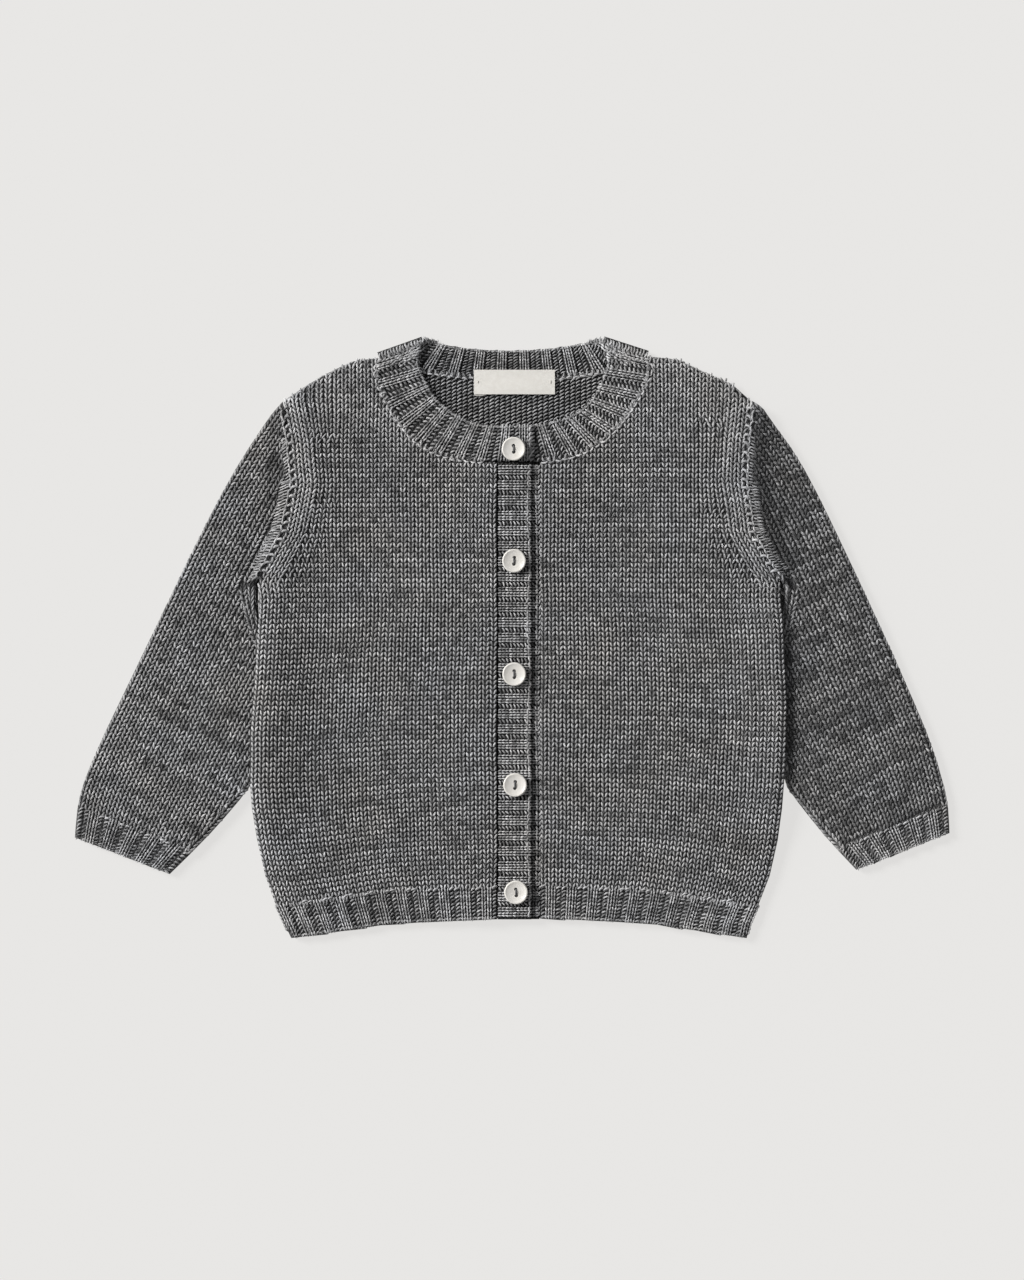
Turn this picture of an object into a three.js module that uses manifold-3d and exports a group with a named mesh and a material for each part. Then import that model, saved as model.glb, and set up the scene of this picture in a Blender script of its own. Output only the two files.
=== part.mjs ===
import * as THREE from 'three';
import { mergeVertices } from 'three/addons/utils/BufferGeometryUtils.js';
import Module from 'manifold-3d';

// A baby's knitted cardigan laid flat on a table, buttoned up, seen from above.
// X runs across it, Y up to the collar, Z away from the table. Millimetres.

// Cloth and seams
const WALL = 2.2;
const SLEEVE_WALL = 1.9;
const SEAM_GAP = 0.3;
const NECK_SEAM_GAP = 0.42;
const ARMHOLE_GAP = 0.6;
const EDGE_ROLL = 6;
const SLEEVE_ROLL = 3;

// Ribbed bands: the furrows are this much thinner than the ribs
const RIB_DEPTH = 1.0;
const RIB_PITCH = 10.4;
const BAND_RIB_PITCH = 7.6;
const NECK_RIB_PITCH = 9.2;
const BACK_NECK_RIB_PITCH = 11.5;
const CUFF_RIBS = 5;
const HEM_BAND = 17.6;

// How the layers rest on each other
const AIR = 1.2;
const BODY_LIFT = 5.4;
const LIFT_REACH = 8.5;
const LIFT_END = 27;
const ARMHOLE_RIDGE = 2.3;
const ARMHOLE_RIDGE_WIDTH = 15;
const UNDER_FLOOR = 3.0;
const OVER_FLOOR = 5.55;

// Front bands
const BAND_WEST = -7.2;
const BAND_EAST = 10.5;
const UNDER_BAND_EAST = 13.7;
const UNDER_BAND_WEST = -5.5;
const BAND_TOP = 88.2;
const BAND_BOTTOM = -140.5;
const BAND_BULGE = 1.2;

// Buttons, their thread and their slots
const BUTTON_RADIUS = 5.95;
const BUTTON_HEIGHT = 2.6;
const BUTTON_SIDES = 20;
const HOLE_RADIUS = 0.85;
const HOLE_SIDES = 8;
const HOLE_SPACING = 3.2;
const THREAD_RADIUS = 0.45;
const THREAD_RISE = 0.35;
const SLOT_WIDTH = 2.0;
const SLOT_LENGTH = 7.0;

// Label
const LABEL_WIDTH = 40.5;
const LABEL_HEIGHT = 12.3;
const LABEL_WALL = 1.0;
const LABEL_X = 1.2;
const LABEL_Y = 128.4;

const BUTTONS = [
  { x: 0.8, y: 94.8 },
  { x: 1.0, y: 38.8 },
  { x: 1.1, y: -17.8 },
  { x: 1.5, y: -73.2 },
  { x: 2.0, y: -126.8 },
];

// Both edges of the body from the hem up to the shoulder tips. 'roll' is 1 where
// front and back meet in a side seam and 0 where a sleeve is sewn on. 'lift' is
// the share of BODY_LIFT by which the sleeve below holds the side off the table.
const SIDES = [
  { y: -150.0, left: -110.5, right: 117.5, roll: 1, lift: 0 },
  { y: -142.8, left: -114.0, right: 119.2, roll: 1, lift: 0 },
  { y: -130.8, left: -119.5, right: 124.5, roll: 1, lift: 0 },
  { y: -118.8, left: -123.5, right: 129.0, roll: 1, lift: 0.05 },
  { y: -100.8, left: -127.5, right: 133.0, roll: 1, lift: 0.3 },
  { y: -85.0, left: -130.0, right: 135.0, roll: 1, lift: 0.8 },
  { y: -72.0, left: -131.0, right: 136.0, roll: 1, lift: 1 },
  { y: -50.0, left: -131.0, right: 137.0, roll: 1, lift: 1 },
  { y: -30.0, left: -129.5, right: 137.2, roll: 1, lift: 1 },
  { y: -5.0, left: -127.4, right: 136.4, roll: 1, lift: 1 },
  { y: 13.0, left: -126.6, right: 135.2, roll: 1, lift: 1 },
  { y: 20.5, left: -126.4, right: 134.6, roll: 1, lift: 0.6 },
  { y: 27.8, left: -127.6, right: 134.8, roll: 0.8, lift: 0 },
  { y: 37.0, left: -122.0, right: 128.0, roll: 0, lift: 0 },
  { y: 52.8, left: -113.6, right: 119.6, roll: 0, lift: 0 },
  { y: 77.8, left: -108.3, right: 115.8, roll: 0, lift: 0 },
  { y: 99.2, left: -110.4, right: 117.0, roll: 0, lift: 0 },
  { y: 119.0, left: -114.2, right: 119.4, roll: 0, lift: 0 },
];

// Hem line, from the right side seam to the left one
const HEM = [
  { x: -110.5, y: -150.0 },
  { x: -99.0, y: -148.6 },
  { x: -60.5, y: -142.8 },
  { x: -6.0, y: -140.4 },
  { x: 20.0, y: -140.2 },
  { x: 69.5, y: -142.8 },
  { x: 108.0, y: -148.6 },
  { x: 117.5, y: -150.0 },
];

const SHOULDER_LEFT = [
  { x: -114.2, y: 119.0 },
  { x: -103.0, y: 126.6 },
  { x: -92.0, y: 133.0 },
  { x: -80.0, y: 138.8 },
  { x: -68.6, y: 142.2 },
];

const SHOULDER_RIGHT = [
  { x: 119.4, y: 119.8 },
  { x: 110.6, y: 127.6 },
  { x: 98.0, y: 133.0 },
  { x: 83.0, y: 139.8 },
  { x: 70.2, y: 143.6 },
];

// Neckband from the buttonhole end at the front, round the neck, to the button
// end. 'free' is its loose edge, 'seam' the edge sewn to the body.
const NECK_OVER = [
  { freeX: 10.5, freeY: 107.0, seamX: 10.5, seamY: 88.9 },
  { freeX: 0.0, freeY: 106.8, seamX: -1.0, seamY: 88.8 },
  { freeX: -9.0, freeY: 106.6, seamX: -14.0, seamY: 88.9 },
  { freeX: -17.0, freeY: 107.4, seamX: -25.0, seamY: 89.9 },
  { freeX: -25.5, freeY: 110.9, seamX: -36.5, seamY: 92.6 },
  { freeX: -33.0, freeY: 115.8, seamX: -47.5, seamY: 98.9 },
  { freeX: -39.5, freeY: 122.3, seamX: -57.5, seamY: 110.4 },
  { freeX: -43.5, freeY: 129.8, seamX: -64.2, seamY: 122.4 },
  { freeX: -46.4, freeY: 138.2, seamX: -67.6, seamY: 131.9 },
  { freeX: -44.4, freeY: 148.4, seamX: -66.6, seamY: 140.6 },
];

const NECK_BACK = [
  { freeX: -44.4, freeY: 148.4, seamX: -66.6, seamY: 140.6 },
  { freeX: -40.0, freeY: 148.6, seamX: -54.0, seamY: 135.8 },
  { freeX: -31.0, freeY: 146.6, seamX: -37.0, seamY: 132.7 },
  { freeX: -16.0, freeY: 144.7, seamX: -18.0, seamY: 130.8 },
  { freeX: 1.5, freeY: 144.2, seamX: 1.5, seamY: 130.2 },
  { freeX: 19.0, freeY: 145.2, seamX: 21.0, seamY: 130.8 },
  { freeX: 33.5, freeY: 147.4, seamX: 39.0, seamY: 132.7 },
  { freeX: 41.0, freeY: 148.8, seamX: 56.0, seamY: 136.2 },
  { freeX: 45.4, freeY: 148.6, seamX: 67.6, seamY: 141.4 },
];

const NECK_UNDER = [
  { freeX: 45.4, freeY: 148.6, seamX: 67.6, seamY: 141.4 },
  { freeX: 47.2, freeY: 138.2, seamX: 69.0, seamY: 134.2 },
  { freeX: 44.8, freeY: 129.2, seamX: 65.5, seamY: 125.4 },
  { freeX: 40.0, freeY: 120.3, seamX: 58.5, seamY: 113.8 },
  { freeX: 33.0, freeY: 113.8, seamX: 49.0, seamY: 102.6 },
  { freeX: 25.0, freeY: 110.2, seamX: 37.5, seamY: 94.6 },
  { freeX: 18.0, freeY: 108.2, seamX: 26.0, seamY: 90.6 },
  { freeX: 10.5, freeY: 107.0, seamX: 14.5, seamY: 88.9 },
  { freeX: 1.5, freeY: 106.6, seamX: 2.5, seamY: 88.8 },
  { freeX: -5.5, freeY: 106.6, seamX: -5.5, seamY: 88.8 },
];

// Sleeves from the armhole to the cuff: the outer fold and the underarm fold of
// each row, the share of the armhole's bend it keeps, and its height in mm.
const SLEEVE_LEFT = [
  { foldX: -114.6, foldY: 118.6, armX: -128.2, armY: 27.6, bend: 1, height: 8.1 },
  { foldX: -118.6, foldY: 114.2, armX: -131.4, armY: 25.6, bend: 0.93, height: 7.9 },
  { foldX: -122.5, foldY: 109.2, armX: -132.4, armY: 21.8, bend: 0.84, height: 6.0 },
  { foldX: -134.5, foldY: 91.2, armX: -128.4, armY: 6.0, bend: 0.5, height: 4.9 },
  { foldX: -145.0, foldY: 73.2, armX: -123.6, armY: -8.0, bend: 0.2, height: 4.9 },
  { foldX: -156.0, foldY: 51.8, armX: -122.7, armY: -25.8, bend: 0, height: 4.9 },
  { foldX: -169.0, foldY: 25.2, armX: -123.6, armY: -41.8, bend: 0, height: 4.9 },
  { foldX: -182.0, foldY: -1.8, armX: -126.0, armY: -56.8, bend: 0, height: 4.9 },
  { foldX: -195.0, foldY: -28.8, armX: -129.8, armY: -72.0, bend: 0, height: 4.9 },
  { foldX: -206.0, foldY: -51.8, armX: -138.6, armY: -83.4, bend: 0, height: 4.9 },
  { foldX: -214.0, foldY: -70.8, armX: -148.6, armY: -95.0, bend: 0, height: 4.9 },
  { foldX: -217.4, foldY: -84.0, armX: -159.6, armY: -106.4, bend: 0, height: 4.9 },
  { foldX: -218.9, foldY: -99.6, armX: -171.4, armY: -118.0, bend: 0, height: 4.9 },
];

const SLEEVE_RIGHT = [
  { foldX: 119.8, foldY: 119.0, armX: 135.4, armY: 27.6, bend: 1, height: 8.1 },
  { foldX: 125.2, foldY: 115.4, armX: 138.4, armY: 25.6, bend: 0.93, height: 7.9 },
  { foldX: 129.5, foldY: 109.4, armX: 139.6, armY: 21.8, bend: 0.84, height: 6.0 },
  { foldX: 142.5, foldY: 91.2, armX: 136.2, armY: 6.0, bend: 0.5, height: 4.9 },
  { foldX: 152.5, foldY: 73.2, armX: 131.6, armY: -8.0, bend: 0.2, height: 4.9 },
  { foldX: 163.0, foldY: 51.8, armX: 130.3, armY: -25.8, bend: 0, height: 4.9 },
  { foldX: 175.5, foldY: 25.2, armX: 130.6, armY: -41.8, bend: 0, height: 4.9 },
  { foldX: 188.0, foldY: -1.8, armX: 133.0, armY: -57.8, bend: 0, height: 4.9 },
  { foldX: 200.0, foldY: -28.8, armX: 137.6, armY: -74.2, bend: 0, height: 4.9 },
  { foldX: 209.5, foldY: -51.8, armX: 145.6, armY: -85.0, bend: 0, height: 4.9 },
  { foldX: 215.5, foldY: -70.8, armX: 154.1, armY: -95.8, bend: 0, height: 4.9 },
  { foldX: 218.2, foldY: -83.4, armX: 162.6, armY: -105.4, bend: 0, height: 4.9 },
  { foldX: 219.1, foldY: -97.4, armX: 172.4, armY: -115.8, bend: 0, height: 4.9 },
];

// Soft folds of the fronts: middle, direction in degrees, half length, half
// width and height
const FOLDS = [
  { x: -62, y: -42, turn: 8, long: 42, wide: 7, high: 1.1 },
  { x: -78, y: -20, turn: -12, long: 26, wide: 8, high: -0.7 },
  { x: -88, y: -100, turn: 82, long: 30, wide: 9, high: -0.7 },
  { x: -64, y: -96, turn: 84, long: 26, wide: 8, high: 0.7 },
  { x: -70, y: 60, turn: 70, long: 30, wide: 10, high: -0.6 },
  { x: -45, y: 30, turn: 60, long: 24, wide: 9, high: 0.7 },
  { x: 72, y: 70, turn: -40, long: 34, wide: 10, high: 1.1 },
  { x: 52, y: 46, turn: -35, long: 26, wide: 9, high: -0.6 },
  { x: 84, y: -8, turn: 68, long: 30, wide: 9, high: 0.8 },
  { x: 60, y: -40, turn: 35, long: 26, wide: 8, high: -0.6 },
  { x: 80, y: -82, turn: -18, long: 30, wide: 8, high: 0.8 },
  { x: 104, y: -112, turn: 80, long: 26, wide: 8, high: -0.6 },
];

// Cross folds of the sleeves: row of the table, share of the way across,
// half length along, half width across and height
const SLEEVE_FOLDS = [
  { row: 5.2, across: 0.75, long: 0.5, wide: 0.35, high: 0.6 },
  { row: 6.6, across: 0.3, long: 0.45, wide: 0.4, high: 0.5 },
  { row: 7.9, across: 0.7, long: 0.5, wide: 0.35, high: 0.7 },
  { row: 9.2, across: 0.4, long: 0.45, wide: 0.4, high: 0.6 },
];

const CLOTH = { color: 0x636263, roughness: 0.96, metalness: 0 };
const PEARL = { color: 0xdad4c8, roughness: 0.28, metalness: 0 };
const RIBBON = { color: 0xe4dfd6, roughness: 0.8, metalness: 0 };
const YARN = { color: 0x85817b, roughness: 0.9, metalness: 0 };

// Rib outline over one pitch: share of the pitch and share of the rib's height
const RIB_SHAPE = [
  { at: 0.26, rise: 0 },
  { at: 0.35, rise: 1 },
  { at: 0.65, rise: 1 },
  { at: 0.74, rise: 0 },
];

const EDGE_STEPS = [0, 0.07, 0.26, 0.58, 1];
const CORNER = 0.8;
const UPPER_ROWS = 9;

const wasm = await Module();
wasm.setup();

const mix = (a, b, share) => a + (b - a) * share;
const clamp = (value) => Math.min(1, Math.max(0, value));
const ease = (value) => clamp(value) ** 2 * (3 - 2 * clamp(value));
const quarterRound = (share) => Math.sqrt(Math.max(0, 1 - (1 - clamp(share)) ** 2));
const bell = (share) => Math.exp(-share * share);
const dist = (a, b) => Math.hypot(a[0] - b[0], a[1] - b[1]);
const between = (a, b, share) => [mix(a[0], b[0], share), mix(a[1], b[1], share)];

// Reads a column of a table at any place along its key column.
function lookUp(rows, key, place, column) {
  let next = rows.findIndex((row) => row[key] >= place);
  if (next < 0) next = rows.length - 1;
  if (next === 0) next = 1;
  const from = rows[next - 1];
  const to = rows[next];
  return mix(from[column], to[column], clamp((place - from[key]) / (to[key] - from[key])));
}

// Reads a column of a table as a smooth curve through its rows.
function smoothAt(rows, place, column) {
  const first = Math.min(rows.length - 2, Math.max(0, Math.floor(place)));
  const share = place - first;
  const value = (row) => rows[Math.min(rows.length - 1, Math.max(0, row))][column];
  const [a, b, c, d] = [first - 1, first, first + 1, first + 2].map(value);
  const slopeIn = (c - a) / 2;
  const slopeOut = (d - b) / 2;
  const square = share * share;
  const cube = square * share;
  return (2 * cube - 3 * square + 1) * b + (cube - 2 * square + share) * slopeIn
    + (3 * square - 2 * cube) * c + (cube - square) * slopeOut;
}

// A line through points that can be read by the distance along it.
function makeLine(points) {
  const run = [0];
  points.slice(1).forEach((point, i) => run.push(run[i] + dist(point, points[i])));
  const length = run[run.length - 1];
  const at = (share) => {
    const want = clamp(share) * length;
    let next = run.findIndex((value) => value >= want);
    if (next < 1) next = 1;
    return between(points[next - 1], points[next], (want - run[next - 1]) / (run[next] - run[next - 1]));
  };
  return { at, length, shares: run.map((value) => value / length) };
}

const asPoints = (rows) => rows.map((row) => [row.x, row.y]);

// Collects triangles between rows of points. A point is [x, y, z, u, v].
class Skin {
  constructor() {
    this.points = [];
    this.faces = [];
  }

  add(rows) {
    return rows.map((row) => row.map((point) => this.points.push(point) - 1));
  }

  // Fills the strip between two rows whose points may differ in number.
  zip(lower, upper, key) {
    let i = 0;
    let j = 0;
    const place = (row, n) => (n < row.length ? this.points[row[n]][key] : Infinity);
    while (i < lower.length - 1 || j < upper.length - 1) {
      if (place(lower, i + 1) <= place(upper, j + 1)) {
        this.faces.push(lower[i], lower[i + 1], upper[j]);
        i += 1;
      } else {
        this.faces.push(lower[i], upper[j + 1], upper[j]);
        j += 1;
      }
    }
  }

  geometry() {
    const made = new THREE.BufferGeometry();
    const flat = this.points.flatMap((point) => point.slice(0, 3));
    made.setAttribute('position', new THREE.Float32BufferAttribute(flat, 3));
    made.setIndex(this.volume() < 0 ? [...this.faces].reverse() : this.faces);
    return mergeVertices(made, 1e-4);
  }

  volume() {
    let total = 0;
    for (let i = 0; i < this.faces.length; i += 3) {
      const [a, b, c] = [0, 1, 2].map((n) => new THREE.Vector3(...this.points[this.faces[i + n]]));
      total += a.dot(b.cross(c));
    }
    return total;
  }
}

const U = 3;
const V = 4;

// A wall of cloth between an upper and a lower skin, each given as rows.
// A closed wall is a tube, whose rows end where they start.
function makeWall(upperRows, lowerRows, closed = false) {
  const skin = new Skin();
  const upper = skin.add(upperRows);
  const lower = skin.add(lowerRows);
  upper.slice(1).forEach((row, i) => skin.zip(upper[i], row, U));
  lower.slice(1).forEach((row, i) => skin.zip(row, lower[i], U));
  skin.zip(lower[0], upper[0], U);
  skin.zip(upper[upper.length - 1], lower[lower.length - 1], U);
  if (!closed) {
    const first = (rows) => rows.map((row) => row[0]);
    const last = (rows) => rows.map((row) => row[row.length - 1]);
    skin.zip(last(lower), last(upper), V);
    skin.zip(first(upper), first(lower), V);
  }
  return skin.geometry();
}

function toManifold(geometry) {
  const bare = new THREE.BufferGeometry();
  bare.setAttribute('position', geometry.getAttribute('position').clone());
  if (geometry.index) bare.setIndex(geometry.index.clone());
  const merged = mergeVertices(bare, 1e-4);
  return new wasm.Manifold(new wasm.Mesh({
    numProp: 3,
    vertProperties: new Float32Array(merged.getAttribute('position').array),
    triVerts: new Uint32Array(merged.index.array),
  }));
}

function fromManifold(solid) {
  const mesh = solid.getMesh();
  const made = new THREE.BufferGeometry();
  made.setAttribute('position', new THREE.Float32BufferAttribute(mesh.vertProperties, 3));
  made.setIndex([...mesh.triVerts]);
  return made;
}

const cutFrom = (geometry, tools) => fromManifold(
  tools.reduce((solid, tool) => solid.subtract(toManifold(tool)), toManifold(geometry)),
);

function addPiece(group, name, geometry, look) {
  const mesh = new THREE.Mesh(geometry, new THREE.MeshStandardMaterial(look));
  mesh.name = name;
  geometry.computeVertexNormals();
  group.add(mesh);
}

// Heights of the layers

const sideGap = (x, y) => Math.min(
  x - lookUp(SIDES, 'y', y, 'left'),
  lookUp(SIDES, 'y', y, 'right') - x,
);

const backFloor = (x, y) => BODY_LIFT * lookUp(SIDES, 'y', y, 'lift')
  * (1 - ease((sideGap(x, y) - LIFT_REACH) / (LIFT_END - LIFT_REACH)));

function foldRise(x, y) {
  return FOLDS.reduce((sum, fold) => {
    const turn = THREE.MathUtils.degToRad(fold.turn);
    const along = (x - fold.x) * Math.cos(turn) + (y - fold.y) * Math.sin(turn);
    const across = (y - fold.y) * Math.cos(turn) - (x - fold.x) * Math.sin(turn);
    return sum + fold.high * bell(along / fold.long) * bell(across / fold.wide);
  }, 0);
}

// Underside of a front: over the back, raised at the armholes and towards the
// front edge, where the buttonhole side lies on the button side.
function frontFloor(x, y, over) {
  const atArmhole = ease((y - 15) / 18) * (1 - ease((y - 104) / 14));
  const ridge = ARMHOLE_RIDGE * atArmhole * bell(Math.max(0, sideGap(x, y)) / ARMHOLE_RIDGE_WIDTH);
  const loose = backFloor(x, y) + WALL + AIR + ridge + Math.max(-0.3, foldRise(x, y));
  const edge = over ? OVER_FLOOR : UNDER_FLOOR;
  const pull = over ? ease((x + 52) / 44) : ease((46 - x) / 32);
  return mix(loose, edge, pull);
}

const seamLevel = (x, y) => {
  const low = backFloor(x, y);
  return mix(low, low + 2 * WALL + AIR, 0.5);
};

// A front's inner edge: straight up the middle, then round the neck from the
// share CORNER on.
function makeInnerLine(straight, curve) {
  const low = makeLine(straight);
  const high = makeLine(curve);
  const at = (v) => (v < CORNER ? low.at(v / CORNER) : high.at((v - CORNER) / (1 - CORNER)));
  return { at, length: low.length + high.length };
}

// Shape of a panel: its four edges, and any place between them.
function makePatch(edges) {
  const { west, east } = edges;
  const south = makeLine(edges.south);
  const north = makeLine(edges.north);
  const depth = edges.rollWest ? west.length : east.length;
  const bow = (line, u) => {
    const chord = between(line.at(0), line.at(1), u);
    const real = line.at(u);
    return [real[0] - chord[0], real[1] - chord[1]];
  };
  const at = (u, v) => {
    const straight = between(west.at(v), east.at(v), u);
    const up = bow(north, u);
    const down = bow(south, u);
    const keep = v ** edges.northHold;
    return [
      straight[0] + up[0] * keep + down[0] * (1 - v) ** 2,
      straight[1] + up[1] * keep + down[1] * (1 - v) ** 2,
    ];
  };
  const width = (v) => dist(west.at(v), east.at(v));
  const { shares } = edges.rollWest ? west : east;
  return { at, depth, width, shares };
}

// Columns of a row. A rolled edge gets a quarter round; ribs get their outline.
function makeColumns(width, edges, inset, count, ribs) {
  const columns = [];
  const reach = EDGE_ROLL / width;
  const steps = EDGE_STEPS.map((step) => ({
    off: (inset + (EDGE_ROLL - inset) * step) / width,
    round: quarterRound(step),
  }));
  const start = edges.rollWest ? reach : 0;
  const end = edges.rollEast ? 1 - reach : 1;
  if (edges.rollWest) steps.forEach((step) => columns.push({ u: step.off, round: step.round, rise: 0 }));
  else columns.push({ u: 0, round: 1, rise: 0 });
  if (ribs > 0) {
    for (let rib = 0; rib < ribs; rib += 1) {
      RIB_SHAPE.forEach((part) => {
        columns.push({ u: mix(start, end, (rib + part.at) / ribs), round: 1, rise: part.rise });
      });
    }
  } else {
    for (let i = 1; i < count; i += 1) {
      columns.push({ u: mix(start, end, i / count), round: 1, rise: 0 });
    }
  }
  if (edges.rollEast) {
    [...steps].reverse().forEach((step) => columns.push({ u: 1 - step.off, round: step.round, rise: 0 }));
  } else columns.push({ u: 1, round: 1, rise: 0 });
  return columns;
}

// Rows of a panel from hem to shoulder, the last ones rolled over.
function makeRows(patch, ribbed) {
  const { depth } = patch;
  const rows = [];
  const hem = ribbed ? [0, 0.9, 8, 15.6] : [0];
  hem.forEach((height, i) => rows.push({
    v: height / depth, step: 1, ribs: ribbed ? [0.6, 1, 1, 1][i] : 0,
  }));
  const start = HEM_BAND / depth;
  const end = 1 - EDGE_ROLL / depth;
  const spare = EDGE_ROLL / depth;
  const kept = patch.shares.filter((v) => v > start + spare && v < CORNER - spare / 2);
  [start, ...kept].forEach((v) => rows.push({ v, step: 1, ribs: 0 }));
  for (let i = 0; i < UPPER_ROWS; i += 1) {
    rows.push({ v: mix(CORNER, end, i / UPPER_ROWS), step: 1, ribs: 0 });
  }
  [...EDGE_STEPS].reverse().forEach((step) => rows.push({ v: end, step, ribs: 0 }));
  return rows;
}

// One skin of a panel; 'height' gives Z from the place, its rounding and its rib.
function makeSkin(patch, edges, spec, height) {
  const hemWidth = patch.width(HEM_BAND / 2 / patch.depth) - EDGE_ROLL;
  const ribs = Math.round(hemWidth / RIB_PITCH);
  return makeRows(patch, spec.ribbed).map((row) => {
    const sideY = patch.at(edges.rollWest ? 0 : 1, row.v)[1];
    const roll = lookUp(SIDES, 'y', sideY, 'roll');
    const columns = makeColumns(
      patch.width(row.v), edges, spec.inset * roll, spec.columns, row.ribs > 0 ? ribs : 0,
    );
    return columns.map((column) => {
      const turned = edges.topRoll(patch.at(column.u, 1)[0]);
      const inset = spec.inset * turned;
      const reach = inset + (EDGE_ROLL - inset) * row.step;
      const v = row.v < 1 - EDGE_ROLL / patch.depth ? row.v : 1 - reach / patch.depth;
      const [x, y] = patch.at(column.u, v);
      const topRound = 1 - turned * (1 - quarterRound(row.step));
      const round = topRound * (1 - roll * (1 - column.round));
      const furrow = row.ribs * RIB_DEPTH * (1 - column.rise) * (column.round < 1 ? 0 : 1);
      return [x, y, height(x, y, round) - furrow, column.u, v];
    });
  });
}

const sideLine = (side) => SIDES.map((row) => [row[side], row.y]);
const seamLine = (rows) => Array.from({ length: 5 * rows.length - 4 }, (_, i) => {
  const read = (column) => smoothAt(rows, i / 5, column);
  const reach = Math.hypot(read('seamX') - read('freeX'), read('seamY') - read('freeY'));
  const share = 1 + NECK_SEAM_GAP / reach;
  return [mix(read('freeX'), read('seamX'), share), mix(read('freeY'), read('seamY'), share)];
});
const hemFrom = (from, to) => [
  [from, lookUp(HEM, 'x', from, 'y')],
  ...asPoints(HEM).filter((point) => point[0] > from + 1 && point[0] < to - 1),
  [to, lookUp(HEM, 'x', to, 'y')],
];

function makeFront(over) {
  const neck = over ? NECK_OVER.slice(2) : NECK_UNDER.slice(0, -3).reverse();
  const edgeX = over ? BAND_WEST - SEAM_GAP : UNDER_BAND_EAST + SEAM_GAP;
  const bend = [edgeX, BAND_TOP - 0.2];
  const curve = [bend, ...seamLine(neck)];
  const inner = makeInnerLine([[edgeX, lookUp(HEM, 'x', edgeX, 'y')], bend], curve);
  const shoulder = over ? SHOULDER_LEFT : SHOULDER_RIGHT;
  const tips = [...asPoints(shoulder).slice(0, -1), curve[curve.length - 1]];
  const points = sideLine(over ? 'left' : 'right');
  const outer = makeLine(points);
  const edges = {
    west: over ? outer : inner,
    east: over ? inner : outer,
    south: over ? hemFrom(points[0][0], edgeX) : hemFrom(edgeX, points[0][0]),
    north: over ? tips : [...tips].reverse(),
    northHold: 3,
    rollWest: over,
    rollEast: !over,
    topRoll: () => 1,
  };
  const patch = makePatch(edges);
  const top = (x, y, round) => {
    const low = seamLevel(x, y) + SEAM_GAP / 2;
    return mix(low, frontFloor(x, y, over) + WALL, round);
  };
  const bottom = (x, y, round) => {
    const low = seamLevel(x, y) + SEAM_GAP / 2;
    return mix(low, frontFloor(x, y, over), round);
  };
  return makeWall(
    makeSkin(patch, edges, { inset: 0, columns: 10, ribbed: true }, top),
    makeSkin(patch, edges, { inset: WALL, columns: 5, ribbed: false }, bottom),
  );
}

function makeBack() {
  const neck = seamLine(NECK_BACK);
  const edges = {
    west: makeLine(sideLine('left')),
    east: makeLine(sideLine('right')),
    south: asPoints(HEM),
    north: [
      ...asPoints(SHOULDER_LEFT).slice(0, -1),
      ...neck,
      ...asPoints(SHOULDER_RIGHT).slice(0, -1).reverse(),
    ],
    northHold: 8,
    rollWest: true,
    rollEast: true,
    topRoll: (x) => ease((Math.abs(x) - 56) / 12),
  };
  const patch = makePatch(edges);
  const seam = (x, y) => seamLevel(x, y) - SEAM_GAP / 2;
  const top = (x, y, round) => mix(seam(x, y), backFloor(x, y) + WALL, round);
  const bottom = (x, y, round) => mix(seam(x, y), backFloor(x, y), round);
  return makeWall(
    makeSkin(patch, edges, { inset: WALL, columns: 20, ribbed: false }, top),
    makeSkin(patch, edges, { inset: 0, columns: 20, ribbed: false }, bottom),
  );
}

// Front bands, with ribs across them

function bandRows(west, east, floor, ribbed) {
  const rows = [];
  const ribs = Math.round((BAND_TOP - BAND_BOTTOM) / BAND_RIB_PITCH);
  const push = (v, rise) => {
    const y = mix(BAND_BOTTOM, BAND_TOP, v);
    const edge = east(y);
    const top = floor + WALL - RIB_DEPTH * (1 - rise);
    const columns = ribbed
      ? [[0, -0.3], [0.12, 0], [0.88, 0], [1, -0.4]]
      : [[0, 0], [1, 0]];
    rows.push(columns.map(([u, drop]) => [
      mix(west, edge, u), y, ribbed ? top + drop * rise : floor, u, v,
    ]));
  };
  push(0, 0);
  for (let rib = 0; rib < ribs; rib += 1) {
    if (ribbed) RIB_SHAPE.forEach((part) => push((rib + part.at) / ribs, part.rise));
    else if (rib > 0) push(rib / ribs, 0);
  }
  push(1, 0);
  return rows;
}

const makeSlots = (buttons) => buttons.map((button) => {
  const slot = new THREE.BoxGeometry(SLOT_WIDTH, SLOT_LENGTH, 4 * WALL);
  slot.translate(button.x, button.y, OVER_FLOOR + WALL / 2);
  return slot;
});

function makeButtonholeBand() {
  const east = (y) => BAND_EAST - BAND_BULGE + BUTTONS.reduce(
    (sum, button) => sum + BAND_BULGE * bell((y - button.y) / 14), 0,
  );
  const wall = makeWall(
    bandRows(BAND_WEST, east, OVER_FLOOR, true),
    bandRows(BAND_WEST, east, OVER_FLOOR, false),
  );
  return cutFrom(wall, makeSlots(BUTTONS.slice(1)));
}

function makeButtonBand() {
  const east = () => UNDER_BAND_EAST;
  return makeWall(
    bandRows(UNDER_BAND_WEST, east, UNDER_FLOOR, true),
    bandRows(UNDER_BAND_WEST, east, UNDER_FLOOR, false),
  );
}

// Neckband

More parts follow.
